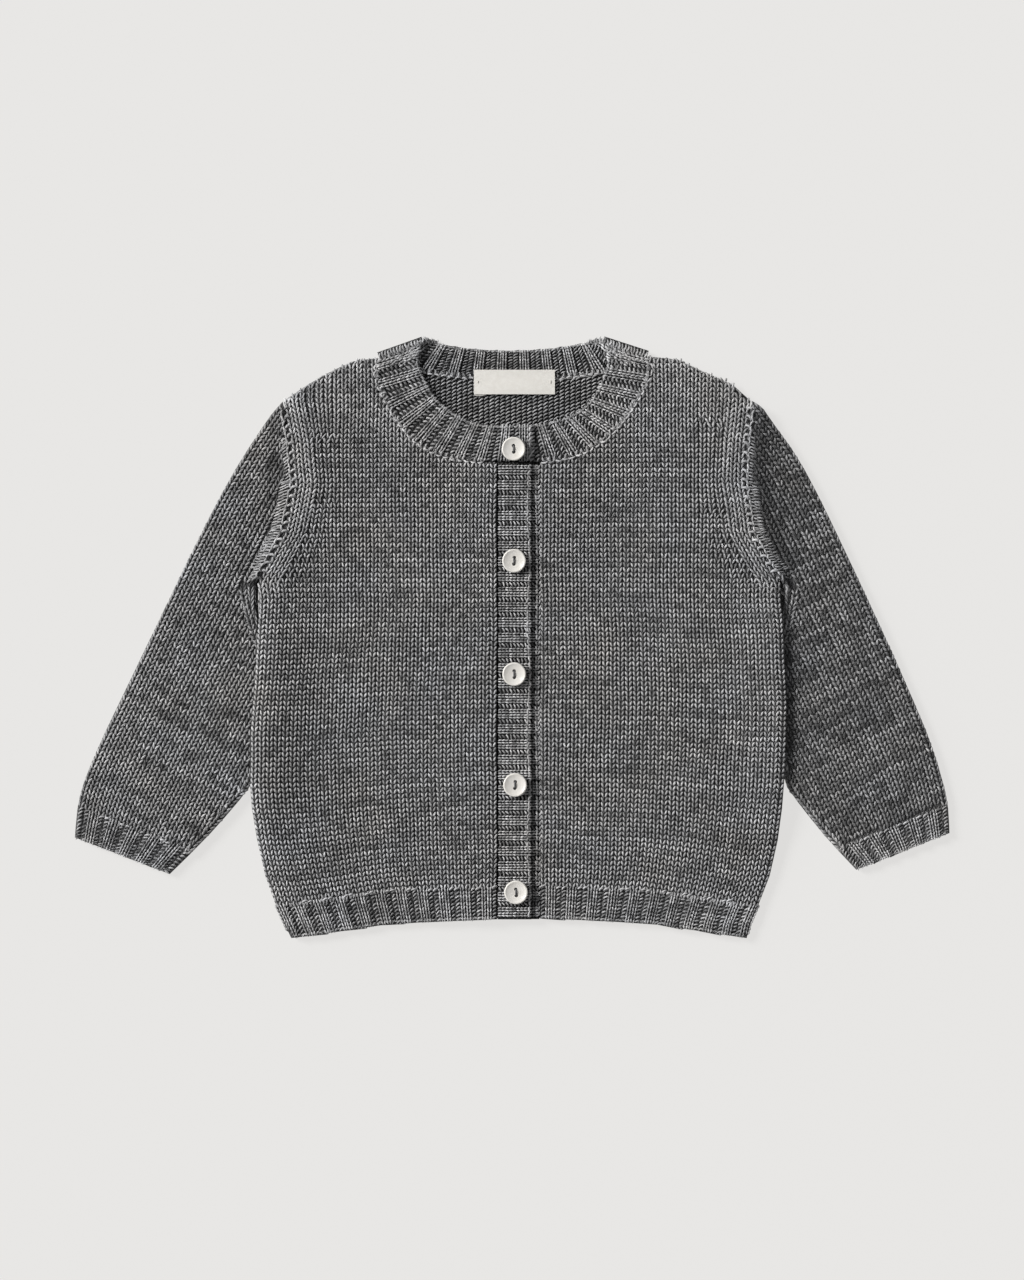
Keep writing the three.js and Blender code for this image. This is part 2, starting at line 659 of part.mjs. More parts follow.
// Samples one stretch of the band between two rows of its table.
function neckStretch(rows, over, front, samples) {
  const list = [];
  for (let i = 0; i <= samples; i += 1) {
    const place = (i / samples) * (rows.length - 1);
    const read = (column) => smoothAt(rows, place, column);
    list.push({
      free: [read('freeX'), read('freeY')],
      seam: [read('seamX'), read('seamY')],
      turn: front ? Math.PI : 0,
      over,
    });
  }
  return list;
}

// The half turn over a shoulder, on the spot where front and back meet.
function neckTurn(row, over, down) {
  const steps = [1, 2, 3, 4, 5];
  return steps.map((step) => ({
    free: [row.freeX, row.freeY],
    seam: [row.seamX, row.seamY],
    turn: Math.PI * (down ? 1 - step / 6 : step / 6),
    over,
  }));
}

function neckFrame(sample, w) {
  const [x, y] = between(sample.free, sample.seam, w);
  const width = dist(sample.free, sample.seam);
  const across = [
    (sample.seam[0] - sample.free[0]) / width,
    (sample.seam[1] - sample.free[1]) / width,
  ];
  const side = across[0] < 0 ? 1 : -1;
  const out = [across[1] * side, -across[0] * side];
  const floor = frontFloor(x, y, sample.over);
  const radius = floor / 2;
  const reach = radius * Math.sin(sample.turn);
  return {
    mid: [x + out[0] * reach, y + out[1] * reach, WALL / 2 + radius * (1 - Math.cos(sample.turn))],
    normal: [out[0] * Math.sin(sample.turn), out[1] * Math.sin(sample.turn), -Math.cos(sample.turn)],
  };
}

function neckSamples() {
  const last = NECK_OVER[NECK_OVER.length - 1];
  const first = NECK_UNDER[0];
  const samples = [
    ...neckStretch(NECK_OVER, true, true, 60),
    ...neckTurn(last, true, true),
    ...neckStretch(NECK_BACK, true, false, 50),
    ...neckTurn(first, false, false),
    ...neckStretch(NECK_UNDER, false, true, 60),
  ];
  let run = 0;
  let before = null;
  return samples.map((sample) => {
    const { mid } = neckFrame(sample, 0.5);
    if (before) run += Math.hypot(mid[0] - before[0], mid[1] - before[1], mid[2] - before[2]);
    before = mid;
    return { ...sample, run };
  });
}

// One skin of the band: ribbed on the stretches where it faces up.
function neckSkin(samples, sign, facesUp) {
  const rows = [];
  const total = samples[samples.length - 1].run;
  const push = (sample, rise, depth) => {
    const columns = [[0, 0.35], [0.1, 0], [0.9, 0], [1, 0.2]];
    rows.push(columns.map(([w, drop]) => {
      const { mid, normal } = neckFrame(sample, w);
      const half = WALL / 2 - depth * (1 - rise) - (depth > 0 ? drop * rise : 0);
      return [...mid.map((value, n) => value + sign * normal[n] * half), w, sample.run / total];
    }));
  };
  const sampleAt = (run) => {
    const next = Math.max(1, samples.findIndex((sample) => sample.run >= run));
    const [a, b] = [samples[next - 1], samples[next]];
    const share = (run - a.run) / (b.run - a.run);
    return {
      free: between(a.free, b.free, share),
      seam: between(a.seam, b.seam, share),
      turn: mix(a.turn, b.turn, share),
      over: a.over,
      run,
    };
  };
  const stretch = (list, pitch) => {
    const from = list[0].run;
    const to = list[list.length - 1].run;
    const ribs = Math.round((to - from) / pitch);
    push(list[0], 0, facesUp(list[0]) ? RIB_DEPTH : 0);
    for (let rib = 0; rib < ribs; rib += 1) {
      if (facesUp(list[1])) {
        RIB_SHAPE.forEach((part) => push(
          sampleAt(mix(from, to, (rib + part.at) / ribs)), part.rise, RIB_DEPTH,
        ));
      } else if (rib > 0) push(sampleAt(mix(from, to, rib / ribs)), 1, 0);
    }
    push(list[list.length - 1], 0, facesUp(list[list.length - 1]) ? RIB_DEPTH : 0);
  };
  const isFlat = (sample) => sample.turn === 0 || sample.turn === Math.PI;
  const flatRuns = [];
  samples.forEach((sample, i) => {
    const starts = isFlat(sample) && (i === 0 || !isFlat(samples[i - 1]));
    if (starts) flatRuns.push([]);
    if (isFlat(sample)) flatRuns[flatRuns.length - 1].push(sample);
  });
  const turns = samples.filter((sample) => !isFlat(sample));
  flatRuns.forEach((list, i) => {
    stretch(list, i === 1 ? BACK_NECK_RIB_PITCH : NECK_RIB_PITCH);
    turns.slice(i * 5, i * 5 + 5).forEach((sample) => push(sample, 1, 0));
  });
  return rows;
}

function makeNeckband() {
  const samples = neckSamples();
  const wall = makeWall(
    neckSkin(samples, 1, (sample) => sample.turn === Math.PI),
    neckSkin(samples, -1, (sample) => sample.turn === 0),
  );
  return cutFrom(wall, makeSlots(BUTTONS.slice(0, 1)));
}

// Sleeves

// Armhole seam as seen from the sleeve: distance of the seam from the chord of
// the sleeve's first row.
function armholeBend(first, side, sign) {
  const from = [first.foldX, first.foldY];
  const to = [first.armX, first.armY];
  return (share) => {
    const [x, y] = between(from, to, share);
    return lookUp(SIDES, 'y', y, side) - x - sign * ARMHOLE_GAP;
  };
}

function sleeveSkin(rows, side, spec) {
  const sign = side === 'left' ? 1 : -1;
  const bend = armholeBend(rows[0], side, sign);
  const last = rows.length - 1;
  const roll = SLEEVE_ROLL - spec.inset;
  const places = [];
  for (let i = 0; i < spec.rings; i += 1) places.push((i / spec.rings) ** 1.25 * (last - 1));
  (spec.ribbed ? [-1, -0.85, -0.4, -0.06, 0] : [-1, 0]).forEach((back) => places.push(last + back));
  return places.map((place) => {
    const read = (column) => smoothAt(rows, place, column);
    const fold = [read('foldX'), read('foldY')];
    const arm = [read('armX'), read('armY')];
    const width = dist(fold, arm);
    const height = read('height');
    const level = height / 2;
    const ribs = spec.ribbed ? clamp((place - last + 1) / 0.15) : 0;
    const keepBend = Math.max(0, read('bend'));
    const crease = (share) => SLEEVE_FOLDS.reduce((sum, item) => sum
      + item.high * bell((place - item.row) / item.long) * bell((share - item.across) / item.wide), 0);
    const point = (share, z, u) => {
      const [x, y] = between(fold, arm, share);
      const keep = keepBend ** (1 + 5 * share ** 3);
      return [x + bend(share) * keep, y, z, u, place / last];
    };
    const edge = EDGE_STEPS.map((step) => ({
      share: (spec.inset + roll * step) / width, round: quarterRound(step), rise: 0,
    }));
    const middle = [];
    const from = SLEEVE_ROLL / width;
    if (ribs > 0) {
      for (let rib = 0; rib < CUFF_RIBS; rib += 1) {
        RIB_SHAPE.forEach((part) => middle.push({
          share: mix(from, 1 - from, (rib + part.at) / CUFF_RIBS), round: 1, rise: part.rise,
        }));
      }
    } else {
      for (let i = 1; i < spec.columns; i += 1) {
        middle.push({ share: mix(from, 1 - from, i / spec.columns), round: 1, rise: 0 });
      }
    }
    const mirrored = [...edge].reverse().map((item) => ({ ...item, share: 1 - item.share }));
    const across = [...edge, ...middle, ...mirrored];
    const top = across.map((item) => {
      const puff = crease(item.share) * item.round;
      const furrow = item.round < 1 ? 0 : RIB_DEPTH * ribs * (1 - item.rise);
      const z = mix(level, height - spec.inset, item.round) + puff - furrow * (spec.inset > 0 ? 0 : 1);
      return point(item.share, z, item.share / 2);
    });
    const below = [...edge, { share: 0.35, round: 1 }, { share: 0.65, round: 1 }, ...mirrored];
    const bottom = below.reverse().slice(1).map((item) => point(
      item.share, mix(level, spec.inset, item.round), 1 - item.share / 2,
    ));
    return [...top, ...bottom];
  });
}

function makeSleeve(rows, side) {
  return makeWall(
    sleeveSkin(rows, side, { inset: 0, rings: 18, columns: 7, ribbed: true }),
    sleeveSkin(rows, side, { inset: SLEEVE_WALL, rings: 13, columns: 4, ribbed: false }),
    true,
  );
}

// Label: a woven strip on the inside of the back, over the neckband's seam
function makeLabel() {
  const label = new THREE.BoxGeometry(LABEL_WIDTH, LABEL_HEIGHT, LABEL_WALL);
  label.translate(LABEL_X, LABEL_Y, WALL + SEAM_GAP + LABEL_WALL / 2);
  return label;
}

// Button: a round disc with a raised rim, a shallow dish and two holes
const buttonBase = OVER_FLOOR + WALL + SEAM_GAP;

function makeButton(place) {
  const profile = [
    [0, 0], [4.9, 0], [5.7, 0.5], [BUTTON_RADIUS, 1.4], [5.6, 2.3],
    [5.0, BUTTON_HEIGHT], [4.4, 2.3], [3.4, 1.75], [0, 1.6],
  ];
  const disc = new THREE.LatheGeometry(
    profile.map(([radius, height]) => new THREE.Vector2(radius, height)), BUTTON_SIDES,
  );
  disc.rotateX(Math.PI / 2);
  const holes = [-1, 1].map((sign) => {
    const hole = new THREE.CylinderGeometry(HOLE_RADIUS, HOLE_RADIUS, 4 * BUTTON_HEIGHT, HOLE_SIDES);
    hole.rotateX(Math.PI / 2);
    hole.translate(0, (sign * HOLE_SPACING) / 2, 0);
    return hole;
  });
  const button = cutFrom(disc, holes);
  button.translate(place.x, place.y, buttonBase);
  return button;
}

// Sewing thread: down one hole of the button, through the slot, and back
function makeThread(place) {
  const half = HOLE_SPACING / 2;
  const low = UNDER_FLOOR + WALL + SEAM_GAP;
  const high = buttonBase + 1.75 + THREAD_RISE + THREAD_RADIUS;
  const path = [
    [-half, low], [-half, high - 0.45], [-half + 0.45, high], [half - 0.45, high], [half, high - 0.45],
    [half, low],
  ];
  const rings = path.map(([y, z], i) => {
    const before = path[Math.max(0, i - 1)];
    const after = path[Math.min(path.length - 1, i + 1)];
    const run = Math.hypot(after[0] - before[0], after[1] - before[1]);
    const side = [(before[1] - after[1]) / run, (after[0] - before[0]) / run];
    return Array.from({ length: 9 }, (_, n) => {
      const angle = (n / 8) * 2 * Math.PI;
      const off = THREAD_RADIUS * Math.cos(angle);
      return [
        place.x + THREAD_RADIUS * Math.sin(angle),
        place.y + y + side[0] * off,
        z + side[1] * off,
        n / 8,
        i,
      ];
    });
  });
  const skin = new Skin();
  const rows = skin.add(rings);
  rows.slice(1).forEach((row, i) => skin.zip(rows[i], row, U));
  [rows[0], [...rows[rows.length - 1]].reverse()].forEach((row) => {
    for (let n = 1; n < row.length - 2; n += 1) skin.faces.push(row[0], row[n + 1], row[n]);
  });
  return skin.geometry();
}

const group = new THREE.Group();
group.name = 'baby_cardigan';
addPiece(group, 'back', makeBack(), CLOTH);
addPiece(group, 'front_right', makeFront(true), CLOTH);
addPiece(group, 'front_left', makeFront(false), CLOTH);
addPiece(group, 'sleeve_right', makeSleeve(SLEEVE_LEFT, 'left'), CLOTH);
addPiece(group, 'sleeve_left', makeSleeve(SLEEVE_RIGHT, 'right'), CLOTH);
addPiece(group, 'neckband', makeNeckband(), CLOTH);
addPiece(group, 'buttonhole_band', makeButtonholeBand(), CLOTH);
addPiece(group, 'button_band', makeButtonBand(), CLOTH);
addPiece(group, 'label', makeLabel(), RIBBON);
BUTTONS.forEach((place, i) => {
  addPiece(group, `button_${i + 1}`, makeButton(place), PEARL);
  addPiece(group, `thread_${i + 1}`, makeThread(place), YARN);
});

export default group;
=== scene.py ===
"""A baby's knitted cardigan, laid flat, dressed stitch by stitch over its solids.

Lengths are millimetres in the tables and classes, and metres in the meshes.
"""

import logging
import math
from collections.abc import Callable, Sequence
from dataclasses import dataclass, field, replace
from enum import Enum

import bmesh
import bpy
import numpy as np
from mathutils import Matrix, Vector
from mathutils.bvhtree import BVHTree


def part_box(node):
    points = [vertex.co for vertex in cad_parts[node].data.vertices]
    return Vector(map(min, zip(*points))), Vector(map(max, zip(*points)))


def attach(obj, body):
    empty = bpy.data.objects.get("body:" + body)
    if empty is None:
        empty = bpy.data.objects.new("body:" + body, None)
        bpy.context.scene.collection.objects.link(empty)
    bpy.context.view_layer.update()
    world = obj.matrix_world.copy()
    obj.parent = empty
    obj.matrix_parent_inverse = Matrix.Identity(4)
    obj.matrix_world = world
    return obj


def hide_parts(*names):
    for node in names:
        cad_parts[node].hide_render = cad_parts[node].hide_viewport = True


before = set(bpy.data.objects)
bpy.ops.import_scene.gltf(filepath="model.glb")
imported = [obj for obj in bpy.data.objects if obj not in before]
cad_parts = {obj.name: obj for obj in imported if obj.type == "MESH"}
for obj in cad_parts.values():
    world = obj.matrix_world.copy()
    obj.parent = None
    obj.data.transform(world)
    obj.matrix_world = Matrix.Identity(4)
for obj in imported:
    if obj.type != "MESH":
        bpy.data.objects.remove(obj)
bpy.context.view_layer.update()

LOG = logging.getLogger("cardigan")
Array = np.ndarray

# A millimetre in metres, and the seed of all chance
MM = 0.001
SEED = 29

# Stitches: width of a wale and its limits, height of a course and of a rib's course
WALE = 3.9
WALE_WIDTHS = (2.9, 4.1)
COURSE = 2.5
RIB_COURSE = 1.85

# Hem: its height, its ribs, and the smooth roll at the side edge
HEM_BAND = 17.2
HEM_RIBS = 10
SIDE_ROLL = 6.0

# Front bands: their edges and ends, ribs, and how far the edge bulges at a button
BAND_WEST, BAND_EAST = -7.2, 10.5
BAND_TOP, BAND_BOTTOM = 88.2, -140.5
BAND_RIBS = 30
BAND_BULGE = 1.2
BULGE_REACH = 14.0
UNDER_BAND_WEST, UNDER_BAND_EAST = -5.5, 13.7

# Neckband: distance between ribs at the front and at the back
NECK_PITCH, BACK_NECK_PITCH = 9.2, 11.5

# Sleeves: ribs of the cuff, the roll beside them, and the height of the underarm
CUFF_RIBS = 5
SLEEVE_ROLL = 3.0
UNDERARM = 24.0

# Buttons: their places from the collar down, their underside, and the room for a thread
BUTTONS = ((0.8, 94.8), (1.0, 38.8), (1.1, -17.8), (1.5, -73.2), (2.0, -126.8))
BUTTON_BASE = 8.05
THREAD_ROOM = 3.0

# How far the skin on the table rises to make room for its stitches
UNDER_SINK = 0.7

# Side edges of the body, and its lower edge, on the table plan
SIDE_Y = np.array([-150, -142.8, -130.8, -118.8, -100.8, -85, -72, -50, -30, -5, 13, 20.5,
                   27.8, 37, 52.8, 77.8, 99.2, 119.0])
SIDE_RIGHT = np.array([-110.5, -114, -119.5, -123.5, -127.5, -130, -131, -131, -129.5, -127.4,
                       -126.6, -126.4, -127.6, -122, -113.6, -108.3, -110.4, -114.2])
SIDE_LEFT = np.array([117.5, 119.2, 124.5, 129, 133, 135, 136, 137, 137.2, 136.4, 135.2, 134.6,
                      134.8, 128, 119.6, 115.8, 117, 119.4])
HEM = np.array([(-110.5, -150), (-99, -148.6), (-60.5, -142.8), (-6, -140.4), (20, -140.2),
                (69.5, -142.8), (108, -148.6), (117.5, -150)])

# Neckband rows: loose edge x and y, seam x and y
NECK_OVER = np.array([
    (10.5, 107, 10.5, 88.9), (0, 106.8, -1, 88.8), (-9, 106.6, -14, 88.9),
    (-17, 107.4, -25, 89.9), (-25.5, 110.9, -36.5, 92.6), (-33, 115.8, -47.5, 98.9),
    (-39.5, 122.3, -57.5, 110.4), (-43.5, 129.8, -64.2, 122.4), (-46.4, 138.2, -67.6, 131.9),
    (-44.4, 148.4, -66.6, 140.6)])
NECK_BACK = np.array([
    (-44.4, 148.4, -66.6, 140.6), (-40, 148.6, -54, 135.8), (-31, 146.6, -37, 132.7),
    (-16, 144.7, -18, 130.8), (1.5, 144.2, 1.5, 130.2), (19, 145.2, 21, 130.8),
    (33.5, 147.4, 39, 132.7), (41, 148.8, 56, 136.2), (45.4, 148.6, 67.6, 141.4)])
NECK_UNDER = np.array([
    (45.4, 148.6, 67.6, 141.4), (47.2, 138.2, 69, 134.2), (44.8, 129.2, 65.5, 125.4),
    (40, 120.3, 58.5, 113.8), (33, 113.8, 49, 102.6), (25, 110.2, 37.5, 94.6),
    (18, 108.2, 26, 90.6), (10.5, 107, 14.5, 88.9), (1.5, 106.6, 2.5, 88.8),
    (-5.5, 106.6, -5.5, 88.8)])

# Rolled corner of the neckband at the shoulder, left half about the middle line
NECK_ROLL = ((46.0, 149.2), (43.6, 149.4), (41.0, 148.9), (37.5, 148.0))

# Sleeve rows from the armhole to the cuff: outer fold x and y, underarm x and y
SLEEVE_RIGHT = np.array([
    (-114.6, 118.6, -128.2, 27.6), (-118.6, 114.2, -131.4, 25.6), (-122.5, 109.2, -132.4, 21.8),
    (-134.5, 91.2, -128.4, 6), (-145, 73.2, -123.6, -8), (-156, 51.8, -122.7, -25.8),
    (-169, 25.2, -123.6, -41.8), (-182, -1.8, -126, -56.8), (-195, -28.8, -129.8, -72),
    (-206, -51.8, -138.6, -83.4), (-214, -70.8, -148.6, -95), (-217.4, -84, -159.6, -106.4),
    (-218.9, -99.6, -171.4, -118)])
SLEEVE_LEFT = np.array([
    (119.8, 119, 135.4, 27.6), (125.2, 115.4, 138.4, 25.6), (129.5, 109.4, 139.6, 21.8),
    (142.5, 91.2, 136.2, 6), (152.5, 73.2, 131.6, -8), (163, 51.8, 130.3, -25.8),
    (175.5, 25.2, 130.6, -41.8), (188, -1.8, 133, -57.8), (200, -28.8, 137.6, -74.2),
    (209.5, -51.8, 145.6, -85), (215.5, -70.8, 154.1, -95.8), (218.2, -83.4, 162.6, -105.4),
    (219.1, -97.4, 172.4, -115.8)])

# Smooth strip of the sleeve beside the armhole: height on the body and width
CAP = np.array([(24, 3.2), (39, 5), (52, 6.2), (67, 6.4), (79, 4.4), (94, 2.6), (108, 1.8),
                (119, 1.2)])


class Side(Enum):
    """Wearer's side of a piece."""

    RIGHT = "right"
    LEFT = "left"

    @property
    def inward(self) -> int:
        """Return the sign of the way from this side to the middle."""
        return 1 if self is Side.RIGHT else -1

    def edge(self, y: Array) -> Array:
        """Return the body's side edge at a height."""
        return np.interp(y, SIDE_Y, SIDE_RIGHT if self is Side.RIGHT else SIDE_LEFT)


def smooth(value: Array, low: float, high: float) -> Array:
    """Ease from 0 at low to 1 at high.

    Args:
        value: What is eased.
        low: Where the ease starts.
        high: Where it ends.

    Returns:
        Shares from 0 to 1.
    """
    share = np.clip((value - low) / (high - low), 0, 1)
    return share * share * (3 - 2 * share)


def read_rows(rows: Array, place: Array) -> Array:
    """Read a table as a smooth curve through its rows.

    Args:
        rows: The table, one point to a row.
        place: Places along it, counted in rows.

    Returns:
        One row of values for each place.
    """
    last = len(rows) - 1
    first = np.clip(np.floor(place).astype(int), 0, last - 1)
    t = (place - first)[..., None]
    a, b, c, d = (rows[np.clip(first + k, 0, last)] for k in (-1, 0, 1, 2))
    into, out = (c - a) / 2, (d - b) / 2
    return ((2 * t**3 - 3 * t**2 + 1) * b + (t**3 - 2 * t**2 + t) * into
            + (3 * t**2 - 2 * t**3) * c + (t**3 - t**2) * out)


def drift(x: Array, y: Array, amount: float) -> tuple[Array, Array]:
    """Give the small wander of hand-laid cloth.

    Args:
        x: Places across.
        y: Places along.
        amount: Largest move.

    Returns:
        Moves in x and in y.
    """
    move_x = np.sin(0.061 * y + 0.023 * x + 1.3) + 0.6 * np.sin(0.17 * y - 0.09 * x)
    move_y = np.sin(0.052 * x - 0.031 * y + 0.4) + 0.6 * np.sin(0.19 * x + 0.05 * y + 2.0)
    return amount * move_x / 1.6, amount * move_y / 1.6


def face_outwards(mesh: bpy.types.Mesh) -> None:
    """Turn the faces of a closed mesh outwards.

    Args:
        mesh: The mesh, changed in place.
    """
    made = bmesh.new()
    made.from_mesh(mesh)
    bmesh.ops.recalc_face_normals(made, faces=made.faces)
    made.to_mesh(mesh)
    made.free()


def mesh_of(name: str, points: Sequence[Sequence[float]],
            faces: Sequence[Sequence[int]]) -> bpy.types.Mesh:
    """Make a closed mesh.

    Args:
        name: Its name.
        points: Its points, in mm.
        faces: The points of each face.

    Returns:
        The mesh, with its faces outwards.
    """
    mesh = bpy.data.meshes.new(name)
    mesh.from_pydata((np.asarray(points) * MM).tolist(), [], faces)
    face_outwards(mesh)
    return mesh


def in_scene(mesh: bpy.types.Mesh, name: str | None = None) -> bpy.types.Object:
    """Put a mesh in the scene.

    Args:
        mesh: The mesh, in its final place.
        name: Name of the object, if not the mesh's own.

    Returns:
        The object.
    """
    piece = bpy.data.objects.new(name or mesh.name, mesh)
    bpy.context.scene.collection.objects.link(piece)
    return piece


def declare(piece: bpy.types.Object, node: str | None = None) -> None:
    """Tell the frame about a finished piece of the garment.

    Args:
        piece: The piece.
        node: The solid that it replaces.
    """
    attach(piece, "root")
    if node is not None:
        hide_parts(node)


class Relief:
    """Height of a solid's upper skin over the table, read on a fine grid."""

    step = 1.0
    margin = 6.0
    reach = 14
    crisp_blur = 0.7
    soft_blur = 3.2
    past_blur = 6.0
    soft_from, soft_to = 2.0, 8.0
    steepest = 2.2
    above, below = 100.0, -50.0

    def __init__(self, node: str, under: bool = False) -> None:
        """Read a node's skin.

        Args:
            node: The solid's name.
            under: Read the skin that faces the table.
        """
        low, high = (np.array(corner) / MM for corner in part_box(node))
        self.origin = low[:2] - self.margin
        count = np.ceil((high[:2] + self.margin - self.origin) / self.step).astype(int) + 1
        raw, hit = self._cast(node, count, under)
        self.depth = self._depth(hit)
        crisp = self._soften(raw, hit, self.crisp_blur)
        soft = self._soften(raw, hit, self.soft_blur)
        share = smooth(self.depth, self.soft_from, self.soft_to)
        mixed = crisp * (1 - share) + soft * share
        self.fields = {}
        for name, level in (("crisp", crisp), ("soft", mixed)):
            slopes = (np.clip(slope, -self.steepest, self.steepest)
                      for slope in np.gradient(level, self.step))
            self.fields[name] = (level, *slopes)

    def _cast(self, node: str, count: Array, under: bool) -> tuple[Array, Array]:
        """Read the heights of a solid with upright rays.

        Args:
            node: The solid's name.
            count: Cells across and along.
            under: Cast from below.

        Returns:
            The heights, and which cells lie on the solid.
        """
        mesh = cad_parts[node].data
        points = np.empty(3 * len(mesh.vertices))
        mesh.vertices.foreach_get("co", points)
        faces = [tuple(face.vertices) for face in mesh.polygons]
        tree = BVHTree.FromPolygons((points.reshape(-1, 3) / MM).tolist(), faces)
        raw = np.zeros(count)
        hit = np.zeros(count, dtype=bool)
        start, way = (self.below, 1.0) if under else (self.above, -1.0)
        for i, j in np.ndindex(*count):
            x, y = self.origin + self.step * np.array((i, j))
            place = tree.ray_cast(Vector((x, y, start)), Vector((0, 0, way)))[0]
            if place is not None:
                raw[i, j] = place.z
                hit[i, j] = True
        return raw, hit

    def _depth(self, hit: Array) -> Array:
        """Measure how far inside the outline each cell lies.

        Args:
            hit: Cells that lie on the solid.

        Returns:
            The depths in cells, up to the reach.
        """
        total = np.zeros(hit.shape)
        left = hit
        beside = [(1, 0), (-1, 0), (0, 1), (0, -1)]
        corners = [(1, 1), (-1, -1), (1, -1), (-1, 1)]
        for turn in range(self.reach):
            total += left
            steps = beside + corners * (turn % 2)
            left = np.all([left, *(np.roll(left, step, (0, 1)) for step in steps)], axis=0)
        return total

    def _soften(self, level: Array, hit: Array, spread: float) -> Array:
        """Blur the heights inside the outline and carry them past it.

        Args:
            level: Heights.
            hit: Cells that lie on the solid.
            spread: Width of the blur.

        Returns:
            The softened heights.
        """
        least, enough = 1e-9, 0.02
        near, far = (self._blur(hit * 1.0, width) for width in (spread, self.past_blur))
        inner = self._blur(level * hit, spread) / np.maximum(near, least)
        outer = self._blur(level * hit, self.past_blur) / np.maximum(far, least)
        return np.where(near > enough, inner, outer)

    @staticmethod
    def _blur(level: Array, spread: float) -> Array:
        """Blur a grid in both directions.

        Args:
            level: Values of its cells.
            spread: Width of the Gaussian, in cells.

        Returns:
            The blurred grid.
        """
        reach = max(1, int(3 * spread))
        offsets = np.arange(-reach, reach + 1)
        weights = np.exp(-0.5 * (offsets / spread) ** 2)
        weights /= weights.sum()
        for axis in (0, 1):
            padded = np.pad(level, [(reach, reach) if n == axis else (0, 0) for n in (0, 1)])
            size = level.shape[axis]
            level = sum(
                weight * np.take(padded, np.arange(k, k + size), axis=axis)
                for k, weight in enumerate(weights)
            )
        return level

    def _sample(self, grid: Array, x: Array, y: Array) -> Array:
        """Read a grid between its cells.

        Args:
            grid: Values of the cells.
            x: Places across.
            y: Places along.

        Returns:
            The values there.
        """
        i = np.clip((x - self.origin[0]) / self.step, 0, grid.shape[0] - 1.001)
        j = np.clip((y - self.origin[1]) / self.step, 0, grid.shape[1] - 1.001)
        a, b = i.astype(int), j.astype(int)
        s, t = i - a, j - b
        low = grid[a, b] * (1 - s) + grid[a + 1, b] * s
        high = grid[a, b + 1] * (1 - s) + grid[a + 1, b + 1] * s
        return low * (1 - t) + high * t

    def inside(self, x: Array, y: Array) -> Array:
        """Return how far inside the outline the places lie."""
        return self._sample(self.depth, x, y)

    def surface(self, x: Array, y: Array, crisp: bool) -> tuple[Array, Array, Array]:
        """Read the skin.

        Args:
            x: Places across.
            y: Places along.
            crisp: Keep the ribs sharp.

        Returns:
            Height, and its slope in x and y.
        """
        level, slope_x, slope_y = self.fields["crisp" if crisp else "soft"]
        return tuple(self._sample(part, x, y) for part in (level, slope_x, slope_y))


@dataclass
class Loops:
    """Places of many stitches on the table plan, with their direction and size."""

    x: Array
    y: Array
    lean: Array
    wide: Array
    tall: Array
    tone: Array

    def keep(self, wanted: Array) -> "Loops":
        """Return the loops that are wanted."""
        return Loops(*(part[wanted] for part in self.parts()))

    def parts(self) -> tuple[Array, ...]:
        """Return the columns of the record."""
        return self.x, self.y, self.lean, self.wide, self.tall, self.tone

    def join(self, *others: "Loops") -> "Loops":
        """Return these loops and the others as one."""
        columns = zip(self.parts(), *(other.parts() for other in others))
        return Loops(*(np.concatenate(column) for column in columns))


@dataclass
class Marl:
    """Yarn of two greys whose share changes along each course."""

    seed: int
    memory: float = 0.8
    streak: float = 0.07
    speck: float = 0.12

    def tones(self, wales: int, courses: int) -> Array:
        """Give each stitch its tone.

        Args:
            wales: Stitches to a course.
            courses: Number of courses.

        Returns:
            Tones from 0, dark, to 1, light, as wales by courses.
        """
        dice = np.random.default_rng(self.seed)
        noise = dice.normal(size=(wales, courses))
        run = noise.copy()
        for i in range(1, wales):
            run[i] = self.memory * run[i - 1] + math.sqrt(1 - self.memory**2) * noise[i]
        speck = dice.normal(size=(wales, courses))
        return np.clip(0.5 + self.streak * run + self.speck * speck, 0.2, 0.95)


def weave(x: Array, y: Array, tone: Array, wide: float | None = None) -> Loops:
    """Turn a net of wales and courses into loops.

    Args:
        x: Places across, wales by courses.
        y: Places along.
        tone: Tone of each stitch.
        wide: Width of a stitch where the wales stand in groups.

    Returns:
        One loop at each crossing.
    """
    along = (np.gradient(x, axis=1), np.gradient(y, axis=1))
    tall = np.hypot(*along)
    if wide is None:
        across = (np.gradient(x, axis=0), np.gradient(y, axis=0))
        gap = np.abs(across[0] * along[1] - across[1] * along[0]) / np.maximum(tall, 1e-6)
    else:
        gap = np.full(x.shape, wide)
    lean = np.arctan2(along[1], along[0]) - math.pi / 2
    return Loops(*(part.ravel() for part in (x, y, lean, gap, tall, tone)))


